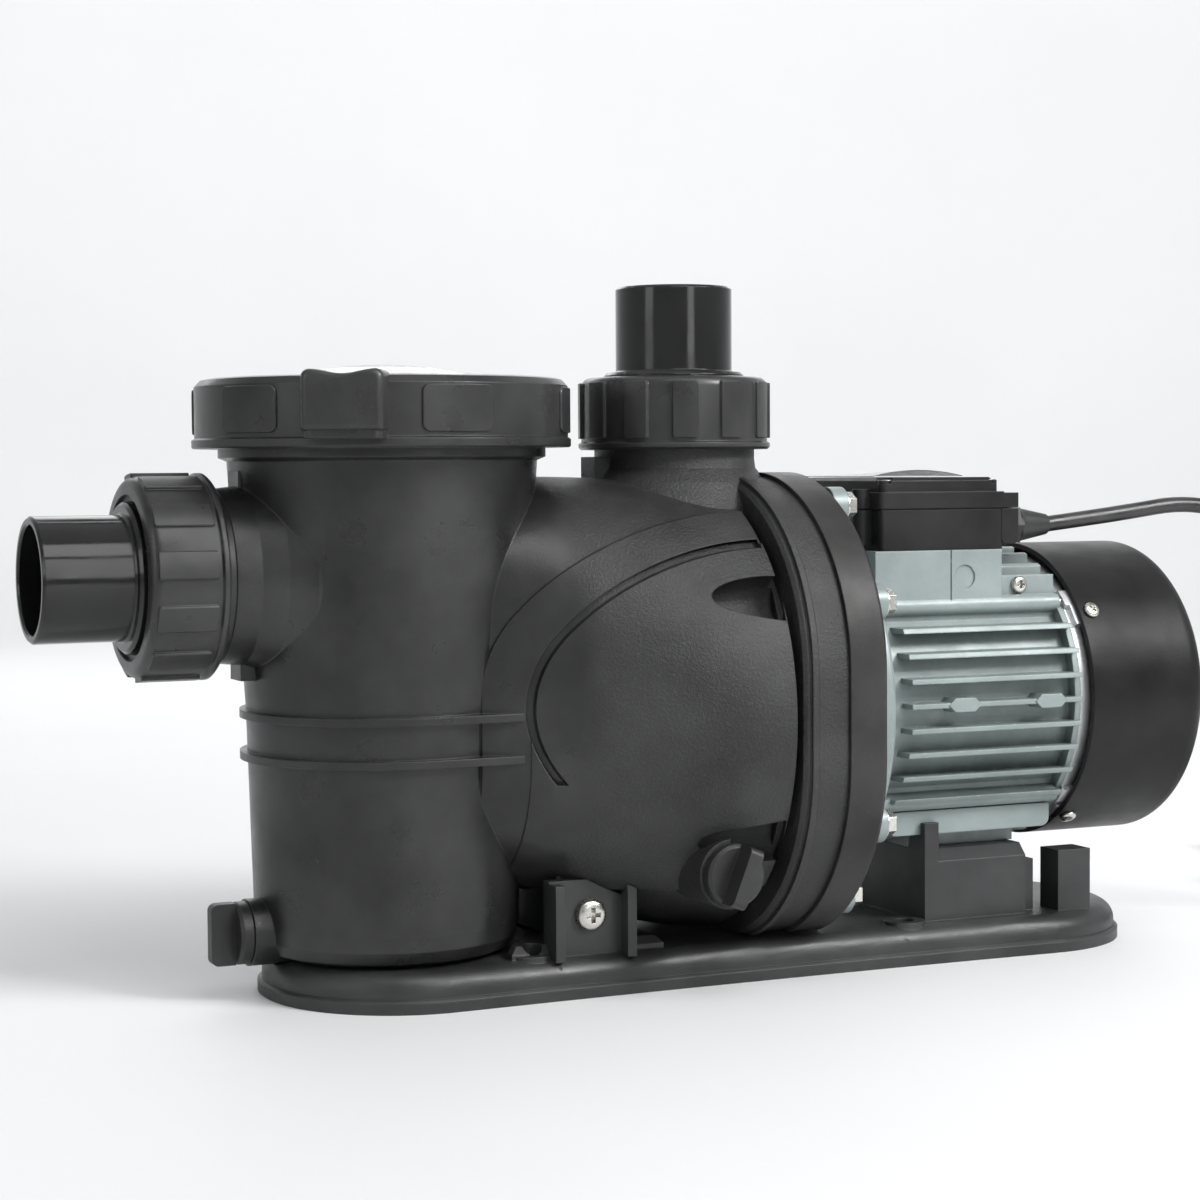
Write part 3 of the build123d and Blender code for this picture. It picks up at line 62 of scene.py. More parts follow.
# ---------------------------------------------------------------- camera
CAMERA_PLACE = Vector((-0.4988, -1.0113, 0.2147))
CAMERA_YAW = 0.4295       # radians from +Y towards +X
CAMERA_DOWN = 0.051
CAMERA_ROLL = -0.0061
LENS_MM = 78.17


def add_camera():
    forward = Vector((sin(CAMERA_YAW) * cos(CAMERA_DOWN), cos(CAMERA_YAW) * cos(CAMERA_DOWN),
                      -sin(CAMERA_DOWN)))
    level = Vector((cos(CAMERA_YAW), -sin(CAMERA_YAW), 0))
    upright = level.cross(forward)
    right = level * cos(CAMERA_ROLL) + upright * sin(CAMERA_ROLL)
    up = upright * cos(CAMERA_ROLL) - level * sin(CAMERA_ROLL)
    data = bpy.data.cameras.new("camera")
    data.lens = LENS_MM
    data.sensor_width = 36.0
    data.clip_start = 0.02
    camera = bpy.data.objects.new("camera", data)
    turn = Matrix((right, up, -forward)).transposed().to_4x4()
    camera.matrix_world = Matrix.Translation(CAMERA_PLACE) @ turn
    bpy.context.scene.collection.objects.link(camera)
    bpy.context.scene.camera = camera


# ---------------------------------------------------------------- lights
# name, place, the point that it faces, width and height, and watts
LIGHTS = (
    ("overhead", (-0.2, 0.1, 1.6), (-0.05, 0.0, 0.1), (1.5, 1.2), 2),
    ("front_high", (0.1, -0.8, 1.35), (0.0, 0.0, 0.12), (1.1, 0.6), 7),
    ("front_strip", (0.2, -1.45, 0.75), (0.0, 0.0, 0.15), (0.35, 1.0), 3),
    ("front_right", (0.85, -1.15, 1.1), (0.0, 0.0, 0.13), (0.6, 0.45), 24),
    ("left", (-1.9, -0.5, 0.9), (-0.1, 0.0, 0.15), (0.6, 1.2), 4),
    ("behind", (0.5, 1.7, 1.1), (0.0, 0.0, 0.15), (1.8, 0.7), 6),
    ("wall", (0.6, 1.3, 2.0), (1.25, 2.8, 0.4), (2.4, 0.8), 31),
)
SKY_COLOUR = (0.97, 0.985, 1.0, 1)
SKY_STRENGTH = 0.3


def add_area_light(name, place, target, size, power):
    data = bpy.data.lights.new(name, "AREA")
    data.shape = "RECTANGLE"
    data.size, data.size_y = size
    data.energy = power
    light = bpy.data.objects.new(name, data)
    light.location = place
    direction = Vector(target) - Vector(place)
    light.rotation_euler = direction.to_track_quat("-Z", "Y").to_euler()
    bpy.context.scene.collection.objects.link(light)


def add_lights():
    for name, place, target, size, power in LIGHTS:
        add_area_light(name, place, target, size, power)
    world = bpy.data.worlds.new("studio")
    world.use_nodes = True
    background = world.node_tree.nodes["Background"]
    background.inputs["Color"].default_value = SKY_COLOUR
    background.inputs["Strength"].default_value = SKY_STRENGTH
    bpy.context.scene.world = world
    bpy.context.scene.view_settings.view_transform = "Standard"


# ---------------------------------------------------------------- mesh helpers
def add_mesh(name, bm, body, material):
    """Links a bmesh as a smooth piece with its sharp edges kept, riding on its body if it has one."""
    bmesh.ops.recalc_face_normals(bm, faces=bm.faces)
    data = bpy.data.meshes.new(name)
    bm.to_mesh(data)
    bm.free()
    data.polygons.foreach_set("use_smooth", [True] * len(data.polygons))
    data.set_sharp_from_angle(angle=radians(35))
    piece = bpy.data.objects.new(name, data)
    bpy.context.scene.collection.objects.link(piece)
    if body:
        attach(piece, body)
    data.materials.append(material)
    return piece


def lathe(profile, steps):
    """A shape turned about Z from (radius, height) points, closed where they start or end on the axis."""
    bm = bmesh.new()
    rings = []
    for radius, height in profile:
        if radius == 0:
            rings.append([bm.verts.new((0, 0, height))])
            continue
        ring = [bm.verts.new((radius * cos(2 * pi * i / steps), radius * sin(2 * pi * i / steps), height))
                for i in range(steps)]
        rings.append(ring)
    for lower, upper in zip(rings, rings[1:]):
        for i in range(steps):
            corners = [lower[i % len(lower)], lower[(i + 1) % len(lower)],
                       upper[(i + 1) % len(upper)], upper[i % len(upper)]]
            bm.faces.new(list(dict.fromkeys(corners)))
    return bm


def add_swept(bm, path, section, closed=True):
    """Adds a solid whose section, as (sideways, outwards) points, follows a path.

    Each path entry is (point, sideways, outwards). A path that isn't closed has a cap at each end."""
    rings = []
    for point, sideways, outwards in path:
        rings.append([bm.verts.new(point + sideways * a + outwards * b) for a, b in section])
    count = len(section)
    pairs = list(zip(rings, rings[1:] + rings[:1])) if closed else list(zip(rings, rings[1:]))
    for one, two in pairs:
        for i in range(count):
            j = (i + 1) % count
            bm.faces.new((one[i], one[j], two[j], two[i]))
    if not closed:
        bm.faces.new(rings[0])
        bm.faces.new(reversed(rings[-1]))


def add_slab(bm, bottom, top):
    """Adds a closed solid between two grids of points that have the same rows and columns."""
    low, high = ([[bm.verts.new(point) for point in row] for row in grid] for grid in (bottom, top))
    rows, columns = len(top) - 1, len(top[0]) - 1
    for i in range(rows):
        for j in range(columns):
            bm.faces.new((high[i][j], high[i + 1][j], high[i + 1][j + 1], high[i][j + 1]))
            bm.faces.new((low[i][j], low[i][j + 1], low[i + 1][j + 1], low[i + 1][j]))
    for i in range(rows):
        for j in (0, columns):
            bm.faces.new((low[i][j], low[i + 1][j], high[i + 1][j], high[i][j]))
    for j in range(columns):
        for i in (0, rows):
            bm.faces.new((low[i][j], low[i][j + 1], high[i][j + 1], high[i][j]))


def add_wrapped_pad(bm, angle, radius, low, high, half_width, corner, proud):
    """Adds a raised pad with round corners and softened edges, wrapped on a cylinder about Z."""
    edge, edge_drop, sunk = 0.0005, 0.0004, 0.0006
    heights = [low + corner * (1 - cos(radians(22.5 * step))) for step in range(5)]
    heights += [low + (high - low) * share for share in (0.4, 0.6)]
    heights += [high - corner * (1 - cos(radians(22.5 * step))) for step in range(4, -1, -1)]
    bottom, top = [], []
    for height in heights:
        from_end = max(0.0, corner - min(height - low, high - height))
        reach = half_width - corner + (corner * corner - from_end * from_end) ** 0.5
        shares = [-1.0, -1.0 + edge / reach, -0.6, -0.2, 0.2, 0.6, 1.0 - edge / reach, 1.0]
        rows = ([], [])
        for share in shares:
            turn = angle + reach * share / radius
            outer = abs(share) == 1.0 or height in (low, high)
            skin = radius + proud - (edge_drop if outer else 0.0)
            for row, place in zip(rows, (radius - sunk, skin)):
                row.append((place * cos(turn), place * sin(turn), height))
        bottom.append(rows[0])
        top.append(rows[1])
    add_slab(bm, bottom, top)


def ring_path(steps=96):
    """A closed circle of no radius about Z, whose sections are (radius, height) points."""
    up = Vector((0, 0, 1))
    turns = [2 * pi * step / steps for step in range(steps)]
    return [(Vector(), Vector((cos(turn), sin(turn), 0)), up) for turn in turns]


def islands(node):
    """The corner points of each separate solid in a CAD node."""
    bm = bmesh.new()
    bm.from_mesh(NODES[node].data)
    bmesh.ops.remove_doubles(bm, verts=bm.verts, dist=0.00001)
    groups = []
    seen = set()
    for start in bm.verts:
        if start in seen:
            continue
        group = []
        queue = [start]
        seen.add(start)
        while queue:
            vertex = queue.pop()
            group.append(vertex.co.copy())
            for edge in vertex.link_edges:
                other = edge.other_vert(vertex)
                if other not in seen:
                    seen.add(other)
                    queue.append(other)
        groups.append(group)
    bm.free()
    return groups


# ---------------------------------------------------------------- material helpers
def add_node(tree, kind, inputs=(), **settings):
    """A shader node with its settings, and its inputs given as values or as other nodes' outputs."""
    made = tree.nodes.new(kind)
    for name, value in settings.items():
        setattr(made, name, value)
    for name, value in dict(inputs).items():
        if isinstance(value, bpy.types.NodeSocket):
            tree.links.new(value, made.inputs[name])
        else:
            made.inputs[name].default_value = value
    return made


def start_material(name):
    """An empty finish: (material, tree, Principled shader, object coordinates)."""
    material = bpy.data.materials.new(name)
    material.use_nodes = True
    tree = material.node_tree
    shader = tree.nodes["Principled BSDF"]
    place = add_node(tree, "ShaderNodeTexCoord").outputs["Object"]
    return material, tree, shader, place


def noise(tree, place, size, detail=4.0, roughness=0.55, stretch=None):
    """Cloudy noise whose features are about size metres across, from 0 to 1."""
    if stretch:
        place = add_node(tree, "ShaderNodeMapping", {"Vector": place, "Scale": stretch}).outputs["Vector"]
    inputs = {"Vector": place, "Scale": 1 / size, "Detail": detail, "Roughness": roughness}
    return add_node(tree, "ShaderNodeTexNoise", inputs).outputs["Fac"]


def remap(tree, value, low, high, to_low, to_high):
    """value from low..high to to_low..to_high, held at the ends."""
    inputs = {"Value": value, "From Min": low, "From Max": high, "To Min": to_low, "To Max": to_high}
    return add_node(tree, "ShaderNodeMapRange", inputs).outputs["Result"]


def calculate(tree, operation, first, second):
    """The result of a sum on two values, each a number or another node's output."""
    made = tree.nodes.new("ShaderNodeMath")
    made.operation = operation
    for socket, value in zip(made.inputs, (first, second)):
        if isinstance(value, bpy.types.NodeSocket):
            tree.links.new(value, socket)
        else:
            socket.default_value = value
    return made.outputs[0]


def mix_colours(tree, amount, first, second):
    """first where amount is 0 and second where it is 1."""
    made = tree.nodes.new("ShaderNodeMix")
    made.data_type = "RGBA"
    sockets = (made.inputs["Factor"], made.inputs[6], made.inputs[7])
    for socket, value in zip(sockets, (amount, first, second)):
        if isinstance(value, bpy.types.NodeSocket):
            tree.links.new(value, socket)
        elif isinstance(value, tuple):
            socket.default_value = (*value, 1.0)
        else:
            socket.default_value = value
    return made.outputs[2]


def rounded_edges(tree, radius):
    """A normal that turns sharp edges over a small radius."""
    return add_node(tree, "ShaderNodeBevel", {"Radius": radius}, samples=4).outputs["Normal"]


def edge_mask(tree, rounded):
    """1 on sharp edges and 0 on open faces."""
    flat = add_node(tree, "ShaderNodeNewGeometry").outputs["Normal"]
    dot = add_node(tree, "ShaderNodeVectorMath", operation="DOT_PRODUCT")
    tree.links.new(rounded, dot.inputs[0])
    tree.links.new(flat, dot.inputs[1])
    return remap(tree, dot.outputs["Value"], 0.995, 0.85, 0.0, 1.0)


def add_bump(tree, height, strength, distance, normal=None):
    inputs = {"Height": height, "Strength": strength, "Distance": distance}
    if normal is not None:
        inputs["Normal"] = normal
    return add_node(tree, "ShaderNodeBump", inputs).outputs["Normal"]


def scratches(tree, place, size, turn):
    """Sparse thin streaks, 1 on a streak."""
    spun = add_node(tree, "ShaderNodeMapping", {"Vector": place, "Rotation": turn}).outputs["Vector"]
    streaks = noise(tree, spun, size, 2.0, 0.5, stretch=(1.0, 14.0, 1.0))
    patches = noise(tree, place, size * 14, 2.0)
    fine = remap(tree, streaks, 0.66, 0.72, 0.0, 1.0)
    return calculate(tree, "MULTIPLY", fine, remap(tree, patches, 0.5, 0.66, 0.0, 1.0))


# ---------------------------------------------------------------- finishes
def moulded_plastic(name, colour, roughness, grain, grain_size, wear, edge,
                    pale=0.05, waves=0.05, shine=0.5):
    """Moulded plastic: cloudy tone, fine grain, faint flow waves, rubbed edges and sparse scuffs."""
    material, tree, shader, place = start_material(name)
    rounded = rounded_edges(tree, edge)
    dark = tuple(0.78 * c for c in colour)
    light = tuple(c + 0.45 * pale for c in colour)
    worn = tuple(c + 2.2 * pale for c in colour)
    tone = mix_colours(tree, remap(tree, noise(tree, place, 0.045), 0.32, 0.68, 0, 1), dark, light)
    rubbed = calculate(tree, "MULTIPLY", edge_mask(tree, rounded),
                       remap(tree, noise(tree, place, 0.004), 0.4, 0.7, 0.1, wear))
    scuffed = calculate(tree, "MULTIPLY", scratches(tree, place, 0.0011, (0.3, 0.9, 0.5)), wear * 0.8)
    tone = mix_colours(tree, calculate(tree, "MAXIMUM", rubbed, scuffed), tone, worn)
    tree.links.new(tone, shader.inputs["Base Color"])
    cloudy = remap(tree, noise(tree, place, 0.02, 5.0), 0.3, 0.7, roughness - 0.06, roughness + 0.08)
    tree.links.new(calculate(tree, "ADD", cloudy, calculate(tree, "MULTIPLY", rubbed, 0.2)),
                   shader.inputs["Roughness"])
    fine = noise(tree, place, grain_size, 3.0, 0.6)
    flow = noise(tree, place, 0.013, 1.0, 0.4)
    normal = add_bump(tree, flow, waves, 0.004, rounded)
    normal = add_bump(tree, fine, grain, 0.0004, normal)
    tree.links.new(normal, shader.inputs["Normal"])
    shader.inputs["Specular IOR Level"].default_value = shine
    return material


def pump_body_plastic():
    """Moulded plastic that is smooth on the pot and has a speckled grain on the volute."""
    material = moulded_plastic("body_plastic", (0.008, 0.008, 0.0085), 0.31, 0.2, 0.0007, 0.22, 0.0008)
    tree = material.node_tree
    shader = tree.nodes["Principled BSDF"]
    place = tree.nodes["Texture Coordinate"].outputs["Object"]
    along = add_node(tree, "ShaderNodeSeparateXYZ", {"Vector": place}).outputs["X"]
    grained = remap(tree, along, POT.x + 0.055, POT.x + 0.066, 0.0, 1.0)
    smooth_roughness = shader.inputs["Roughness"].links[0].from_socket
    rough = calculate(tree, "ADD", smooth_roughness, calculate(tree, "MULTIPLY", grained, 0.14))
    tree.links.new(rough, shader.inputs["Roughness"])
    speckle = noise(tree, place, 0.0013, 4.0, 0.7)
    pale_dots = calculate(tree, "MULTIPLY", remap(tree, speckle, 0.56, 0.72, 0.0, 0.5), grained)
    tone = mix_colours(tree, pale_dots, (0.0, 0.0, 0.0), (0.05, 0.05, 0.052))
    tree.links.new(shader.inputs["Base Color"].links[0].from_socket, tone.node.inputs[6])
    tree.links.new(tone, shader.inputs["Base Color"])
    fine = calculate(tree, "MULTIPLY", speckle, grained)
    normal = add_bump(tree, fine, 0.8, 0.0006, shader.inputs["Normal"].links[0].from_socket)
    tree.links.new(normal, shader.inputs["Normal"])
    return material


def painted_casting(name, colour):
    """Satin enamel on a casting: orange peel, cast pits, painted shade with grime in the corners and chipped
    edges.
    """
    material, tree, shader, place = start_material(name)
    rounded = rounded_edges(tree, 0.0009)
    dark = tuple(0.84 * c for c in colour)
    light = tuple(min(1.0, 1.1 * c) for c in colour)
    # colour of the painted shade with grime in the corners and hollows
    crevice_shade_and_grime = tuple(0.28 * c for c in colour)
    bare = (0.55, 0.56, 0.56)
    tone = mix_colours(tree, remap(tree, noise(tree, place, 0.03), 0.3, 0.7, 0, 1), dark, light)
    # painted shade with grime: ambient occlusion darkens the corners and hollows towards the near-black
    # colour, and noise varies it
    hidden = add_node(tree, "ShaderNodeAmbientOcclusion", {"Distance": 0.009}, samples=4).outputs["AO"]
    crevice_shade_and_dirt = calculate(tree, "MULTIPLY", remap(tree, hidden, 0.75, 0.2, 0.0, 0.75),
                     remap(tree, noise(tree, place, 0.008), 0.3, 0.7, 0.45, 1.0))
    tone = mix_colours(tree, crevice_shade_and_dirt, tone, crevice_shade_and_grime)
    chips = calculate(tree, "MULTIPLY", edge_mask(tree, rounded),
                      remap(tree, noise(tree, place, 0.0028), 0.58, 0.66, 0.0, 0.7))
    tone = mix_colours(tree, chips, tone, bare)
    tree.links.new(tone, shader.inputs["Base Color"])
    tree.links.new(remap(tree, noise(tree, place, 0.012), 0.3, 0.7, 0.34, 0.5), shader.inputs["Roughness"])
    peel = noise(tree, place, 0.0016, 2.0, 0.5)
    pits = noise(tree, place, 0.0045, 4.0, 0.6)
    normal = add_bump(tree, pits, 0.12, 0.001, rounded)
    normal = add_bump(tree, peel, 0.18, 0.0004, normal)
    tree.links.new(normal, shader.inputs["Normal"])
    shader.inputs["Metallic"].default_value = 0.15
    return material


def bare_metal(name, colour, roughness, brushed, tarnish, edge):
    """Machined or plated metal: fine tool lines, cloudy tarnish and bright edges."""
    material, tree, shader, place = start_material(name)
    rounded = rounded_edges(tree, edge)
    dull = tuple(0.55 * c for c in colour)
    cloud = remap(tree, noise(tree, place, 0.006), 0.35, 0.75, 0.0, tarnish)
    tone = mix_colours(tree, cloud, colour, dull)
    tree.links.new(tone, shader.inputs["Base Color"])
    lines = noise(tree, place, 0.0012, 3.0, 0.6, stretch=brushed)
    tree.links.new(remap(tree, lines, 0.25, 0.75, roughness - 0.1, roughness + 0.12),
                   shader.inputs["Roughness"])
    tree.links.new(add_bump(tree, lines, 0.15, 0.0003, rounded), shader.inputs["Normal"])
    shader.inputs["Metallic"].default_value = 1.0
    return material


def stacked_sheets(name, colour):
    """Thin steel sheets stacked along the shaft, with rust bloom between them."""
    material, tree, shader, place = start_material(name)
    sheet = 0.0009
    inputs = {"Vector": place, "Scale": pi / (10 * sheet), "Distortion": 0.4}
    wave = add_node(tree, "ShaderNodeTexWave", inputs, wave_type="BANDS", bands_direction="X")
    lines = wave.outputs["Fac"]
    rust = remap(tree, noise(tree, place, 0.01), 0.5, 0.75, 0.0, 0.6)
    tone = mix_colours(tree, lines, tuple(0.5 * c for c in colour), colour)
    tone = mix_colours(tree, rust, tone, (0.16, 0.08, 0.045))
    tree.links.new(tone, shader.inputs["Base Color"])
    tree.links.new(remap(tree, rust, 0.0, 0.6, 0.38, 0.7), shader.inputs["Roughness"])
    tree.links.new(add_bump(tree, lines, 0.5, 0.0003), shader.inputs["Normal"])
    shader.inputs["Metallic"].default_value = 0.8
    return material


def wound_copper(name, colour):
    """Enamelled wires wound side by side, lacquered, with darker varnish pooled between them."""
    material, tree, shader, place = start_material(name)
    wire = 0.0011
    moved = add_node(tree, "ShaderNodeMapping", {"Vector": place, "Location": -SHAFT}).outputs["Vector"]
    inputs = {"Vector": moved, "Scale": pi / (10 * wire), "Distortion": 1.2}
    wave = add_node(tree, "ShaderNodeTexWave", inputs, wave_type="RINGS", rings_direction="X")
    lines = wave.outputs["Fac"]
    tone = mix_colours(tree, lines, tuple(0.25 * c for c in colour), colour)
    varnish = remap(tree, noise(tree, place, 0.006), 0.45, 0.7, 0.0, 0.5)
    tone = mix_colours(tree, varnish, tone, (0.2, 0.06, 0.02))
    tree.links.new(tone, shader.inputs["Base Color"])
    tree.links.new(remap(tree, varnish, 0.0, 0.5, 0.25, 0.5), shader.inputs["Roughness"])
    tree.links.new(add_bump(tree, lines, 0.8, 0.0006), shader.inputs["Normal"])
    shader.inputs["Metallic"].default_value = 0.85
    return material


def rubber(name, colour, roughness, grain_size):
    """Black rubber with a faint bloom and a fine pitted skin."""
    material, tree, shader, place = start_material(name)
    bloom = remap(tree, noise(tree, place, 0.012, 5.0), 0.4, 0.75, 0.0, 1.0)
    tone = mix_colours(tree, bloom, colour, tuple(c + 0.03 for c in colour))
    tree.links.new(tone, shader.inputs["Base Color"])
    tree.links.new(remap(tree, bloom, 0.0, 1.0, roughness - 0.08, roughness + 0.1),
                   shader.inputs["Roughness"])
    skin = noise(tree, place, grain_size, 3.0, 0.6)
    tree.links.new(add_bump(tree, skin, 0.25, 0.0003, rounded_edges(tree, 0.0004)), shader.inputs["Normal"])
    return material


def clear_plastic(name, colour):
    """Clear polycarbonate with a faint moulding haze and fine hairline scratches."""
    material, tree, shader, place = start_material(name)
    haze = remap(tree, noise(tree, place, 0.03, 4.0), 0.35, 0.7, 0.0, 1.0)
    tree.links.new(mix_colours(tree, haze, colour, tuple(0.93 * c for c in colour)),
                   shader.inputs["Base Color"])
    lines = scratches(tree, place, 0.0008, (0.2, 0.1, 0.7))
    tree.links.new(remap(tree, calculate(tree, "MAXIMUM", lines, haze), 0.0, 1.0, 0.05, 0.16),
                   shader.inputs["Roughness"])
    tree.links.new(add_bump(tree, lines, 0.1, 0.0002), shader.inputs["Normal"])
    shader.inputs["Transmission Weight"].default_value = 0.92
    shader.inputs["IOR"].default_value = 1.45
    return material


def fired_ceramic(name, colour):
    """Lapped ceramic with a fine pitted body."""
    material, tree, shader, place = start_material(name)
    cloud = remap(tree, noise(tree, place, 0.004), 0.3, 0.7, 0.0, 1.0)
    tree.links.new(mix_colours(tree, cloud, colour, tuple(0.9 * c for c in colour)),
                   shader.inputs["Base Color"])
    tree.links.new(remap(tree, cloud, 0.0, 1.0, 0.22, 0.34), shader.inputs["Roughness"])
    pits = noise(tree, place, 0.0006, 3.0)
    tree.links.new(add_bump(tree, pits, 0.12, 0.0002, rounded_edges(tree, 0.0003)), shader.inputs["Normal"])
    return material


def floor_paint():
    """Matte studio white with a faint unevenness."""
    material, tree, shader, place = start_material("studio_white")
    cloud = remap(tree, noise(tree, place, 0.5, 3.0), 0.3, 0.7, 0.0, 1.0)
    white = mix_colours(tree, cloud, (0.77, 0.776, 0.78), (0.80, 0.805, 0.809))
    tree.links.new(white, shader.inputs["Base Color"])
    tree.links.new(remap(tree, cloud, 0.0, 1.0, 0.55, 0.65), shader.inputs["Roughness"])
    tree.links.new(add_bump(tree, noise(tree, place, 0.002), 0.05, 0.0004), shader.inputs["Normal"])
    return material


# ---------------------------------------------------------------- mains cord
CORD_DIAMETER = 0.0071
CORD_ROUTE = (
    (0.167, -0.035, 0.188), (0.204, -0.037, 0.192), (0.245, -0.040, 0.198), (0.283, -0.042, 0.186),
    (0.305, -0.043, 0.151), (0.316, -0.043, 0.107), (0.326, -0.043, 0.069), (0.352, -0.043, 0.044),
)
TAIL_ROUTE = ((0.4315, 0.024, 0.0038), (0.428, 0.052, 0.0085), (0.426, 0.080, 0.0126))
COIL_MIDDLE = (0.392, -0.004)
COIL_R = 0.039
COIL_TURNS = 5.25
COIL_TOP_Z = 0.0391
COIL_LOW_Z = 0.0036
POINTS_EACH_TURN = 16
TIE_ANGLE = 140           # degrees round the coil from +X
TIE_HALF_WIDTH = 0.006
TIE_THICKNESS = 0.0009
TIE_GAP = 0.0006
TIE_LOW_Z = 0.0012
TIE_TOP_Z = COIL_TOP_Z + 0.0044
TIE_LOW_BEND = 0.0010
TIE_TOP_BEND = 0.0028


def coil_points():
    """The coil's turns, from the top one down, each lying on the next."""
    count = int(COIL_TURNS * POINTS_EACH_TURN)
    points = []
    for step in range(count + 1):
        part = step / count
        angle = -pi / 2 + 2 * pi * COIL_TURNS * part
        points.append((COIL_MIDDLE[0] + COIL_R * cos(angle), COIL_MIDDLE[1] + COIL_R * sin(angle),
                       COIL_TOP_Z + (COIL_LOW_Z - COIL_TOP_Z) * part))
    return points


def add_cord(material):
    data = bpy.data.curves.new("mains_cord", "CURVE")
    data.dimensions = "3D"
    route = [*CORD_ROUTE, *coil_points(), *TAIL_ROUTE]
    spline = data.splines.new("NURBS")
    spline.points.add(len(route) - 1)
    for point, place in zip(spline.points, route):
        point.co = (*place, 1.0)
    spline.order_u = 3
    spline.use_endpoint_u = True
    data.resolution_u = 8
    data.bevel_depth = CORD_DIAMETER / 2
    data.bevel_resolution = 5
    data.use_fill_caps = True
    data.materials.append(material)
    piece = bpy.data.objects.new("mains_cord", data)
    bpy.context.scene.collection.objects.link(piece)
    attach(piece, "root")
    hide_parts("power_cord", "power_cord_coil", "power_cord_tail")
    tie = add_coil_tie(material)


def add_coil_tie(material):
    """A flat strap round all of the coil's turns."""
    angle = radians(TIE_ANGLE)
    outwards = Vector((cos(angle), sin(angle), 0))
    centre = Vector((*COIL_MIDDLE, 0)) + outwards * COIL_R
    half_span = CORD_DIAMETER / 2 + TIE_GAP
    upright = Vector((0, 0, 1))
    sideways = outwards.cross(upright)
    path = []
    for side, end, start in ((1, 1, 0), (-1, 1, 90), (-1, -1, 180), (1, -1, 270)):
        bend = TIE_TOP_BEND if end > 0 else TIE_LOW_BEND
        height = (TIE_TOP_Z if end > 0 else TIE_LOW_Z) - bend * end
        corner = centre + outwards * (side * half_span - bend * side) + upright * height
        for step in range(5):
            turn = radians(start + 22.5 * step)
            direction = outwards * cos(turn) + upright * sin(turn)
            path.append((corner + direction * bend, sideways, direction))
    strap = ((-TIE_HALF_WIDTH, 0), (TIE_HALF_WIDTH, 0),
             (TIE_HALF_WIDTH, TIE_THICKNESS), (-TIE_HALF_WIDTH, TIE_THICKNESS))
    bm = bmesh.new()
    add_swept(bm, path, strap)
    return add_mesh("coil_tie", bm, "root", material)


# ---------------------------------------------------------------- screws
def cross_cutter(radius, depth):
    """Two crossed tapered bars that cut a cross recess."""
    bm = bmesh.new()
    for turn in (0.0, pi / 2):
        verts = []
        for height, length, width in ((-depth, 0.30, 0.10), (0.3 * radius, 0.62, 0.17)):
            for x, y in ((-1, -1), (1, -1), (1, 1), (-1, 1)):
                place = Vector((x * length * radius, y * width * radius, height))
                verts.append(bm.verts.new(Matrix.Rotation(turn, 3, "Z") @ place))
        for face in ((0, 1, 2, 3), (4, 5, 6, 7), (0, 1, 5, 4), (1, 2, 6, 5), (2, 3, 7, 6), (3, 0, 4, 7)):
            bm.faces.new([verts[i] for i in face])
    bmesh.ops.recalc_face_normals(bm, faces=bm.faces)
    return bm


def object_of(bm, name):
    data = bpy.data.meshes.new(name)
    bm.to_mesh(data)
    bm.free()
    made = bpy.data.objects.new(name, data)
    bpy.context.scene.collection.objects.link(made)
    return made


def cut_mesh(body_bm, cutter_bm):
    """The first solid less the second, as a new mesh; both helpers are removed."""
    solid = object_of(body_bm, "solid")
    cutter = object_of(cutter_bm, "cutter")
    cut = solid.modifiers.new("cut", "BOOLEAN")
    cut.operation = "DIFFERENCE"
    cut.solver = "EXACT"
    cut.use_self = True
    cut.object = cutter
    bpy.context.view_layer.update()
    graph = bpy.context.evaluated_depsgraph_get()
    mesh = bpy.data.meshes.new_from_object(solid.evaluated_get(graph))
    for helper in (solid, cutter):
        bpy.data.objects.remove(helper)
    return mesh


def pan_head(head_r, head_h, shank_r, shank_length):
    """A pan-head screw along +Z, head base at the origin, with a cross recess and thread crests."""
    profile = [(0, -shank_length), (0.6 * shank_r, -shank_length)]
    pitch = 0.35 * shank_r
    for turn in range(int(shank_length / pitch) - 1):
        height = -shank_length + pitch * (turn + 0.5)
        profile += [(0.84 * shank_r, height), (shank_r, height + 0.4 * pitch),
                    (0.84 * shank_r, height + 0.8 * pitch)]
    profile += [(0.9 * shank_r, 0), (0.97 * head_r, 0), (head_r, 0.08 * head_h), (head_r, 0.42 * head_h)]
    for step in range(1, 7):
        turn = radians(15 * step)
        profile.append((head_r * (0.45 + 0.55 * cos(turn)), head_h * (0.42 + 0.58 * sin(turn))))
    profile.append((0, head_h))
    cutter = cross_cutter(head_r, 0.75 * head_h)
    bmesh.ops.translate(cutter, verts=cutter.verts, vec=(0, 0, head_h))
    return cut_mesh(lathe(profile, 40), cutter)


def add_screws(name, node, axis_of, body, material):
    """Detailed screws in the places and sizes of a CAD node's plain ones.

    axis_of gives the way that a screw's head faces from the middle of its solid."""
    bm = bmesh.new()
    for points in islands(node):
        centre = sum(points, Vector()) / len(points)
        axis = axis_of(centre).normalized()
        across = [((p - centre) - axis * (p - centre).dot(axis)).length for p in points]
        along = [(p - centre).dot(axis) for p in points]
        head_r = max(across)
        head_top = max(along)
        head_base = min(a for a, r in zip(along, across) if r > 0.9 * head_r)
        shank_r = min(r for r in across if r > 0.0002)
        mesh = pan_head(head_r, head_top - head_base, shank_r, head_base - min(along))
        place = Matrix.Translation(centre + axis * head_base)
        turn = axis.to_track_quat("Z", "Y").to_matrix().to_4x4()
        spin = Matrix.Rotation(37 * len(bm.verts) % 90 / 90 * pi / 2, 4, "Z")
        mesh.transform(place @ turn @ spin)
        bm.from_mesh(mesh)
        bpy.data.meshes.remove(mesh)
    piece = add_mesh(name, bm, body, material)
    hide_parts(node)


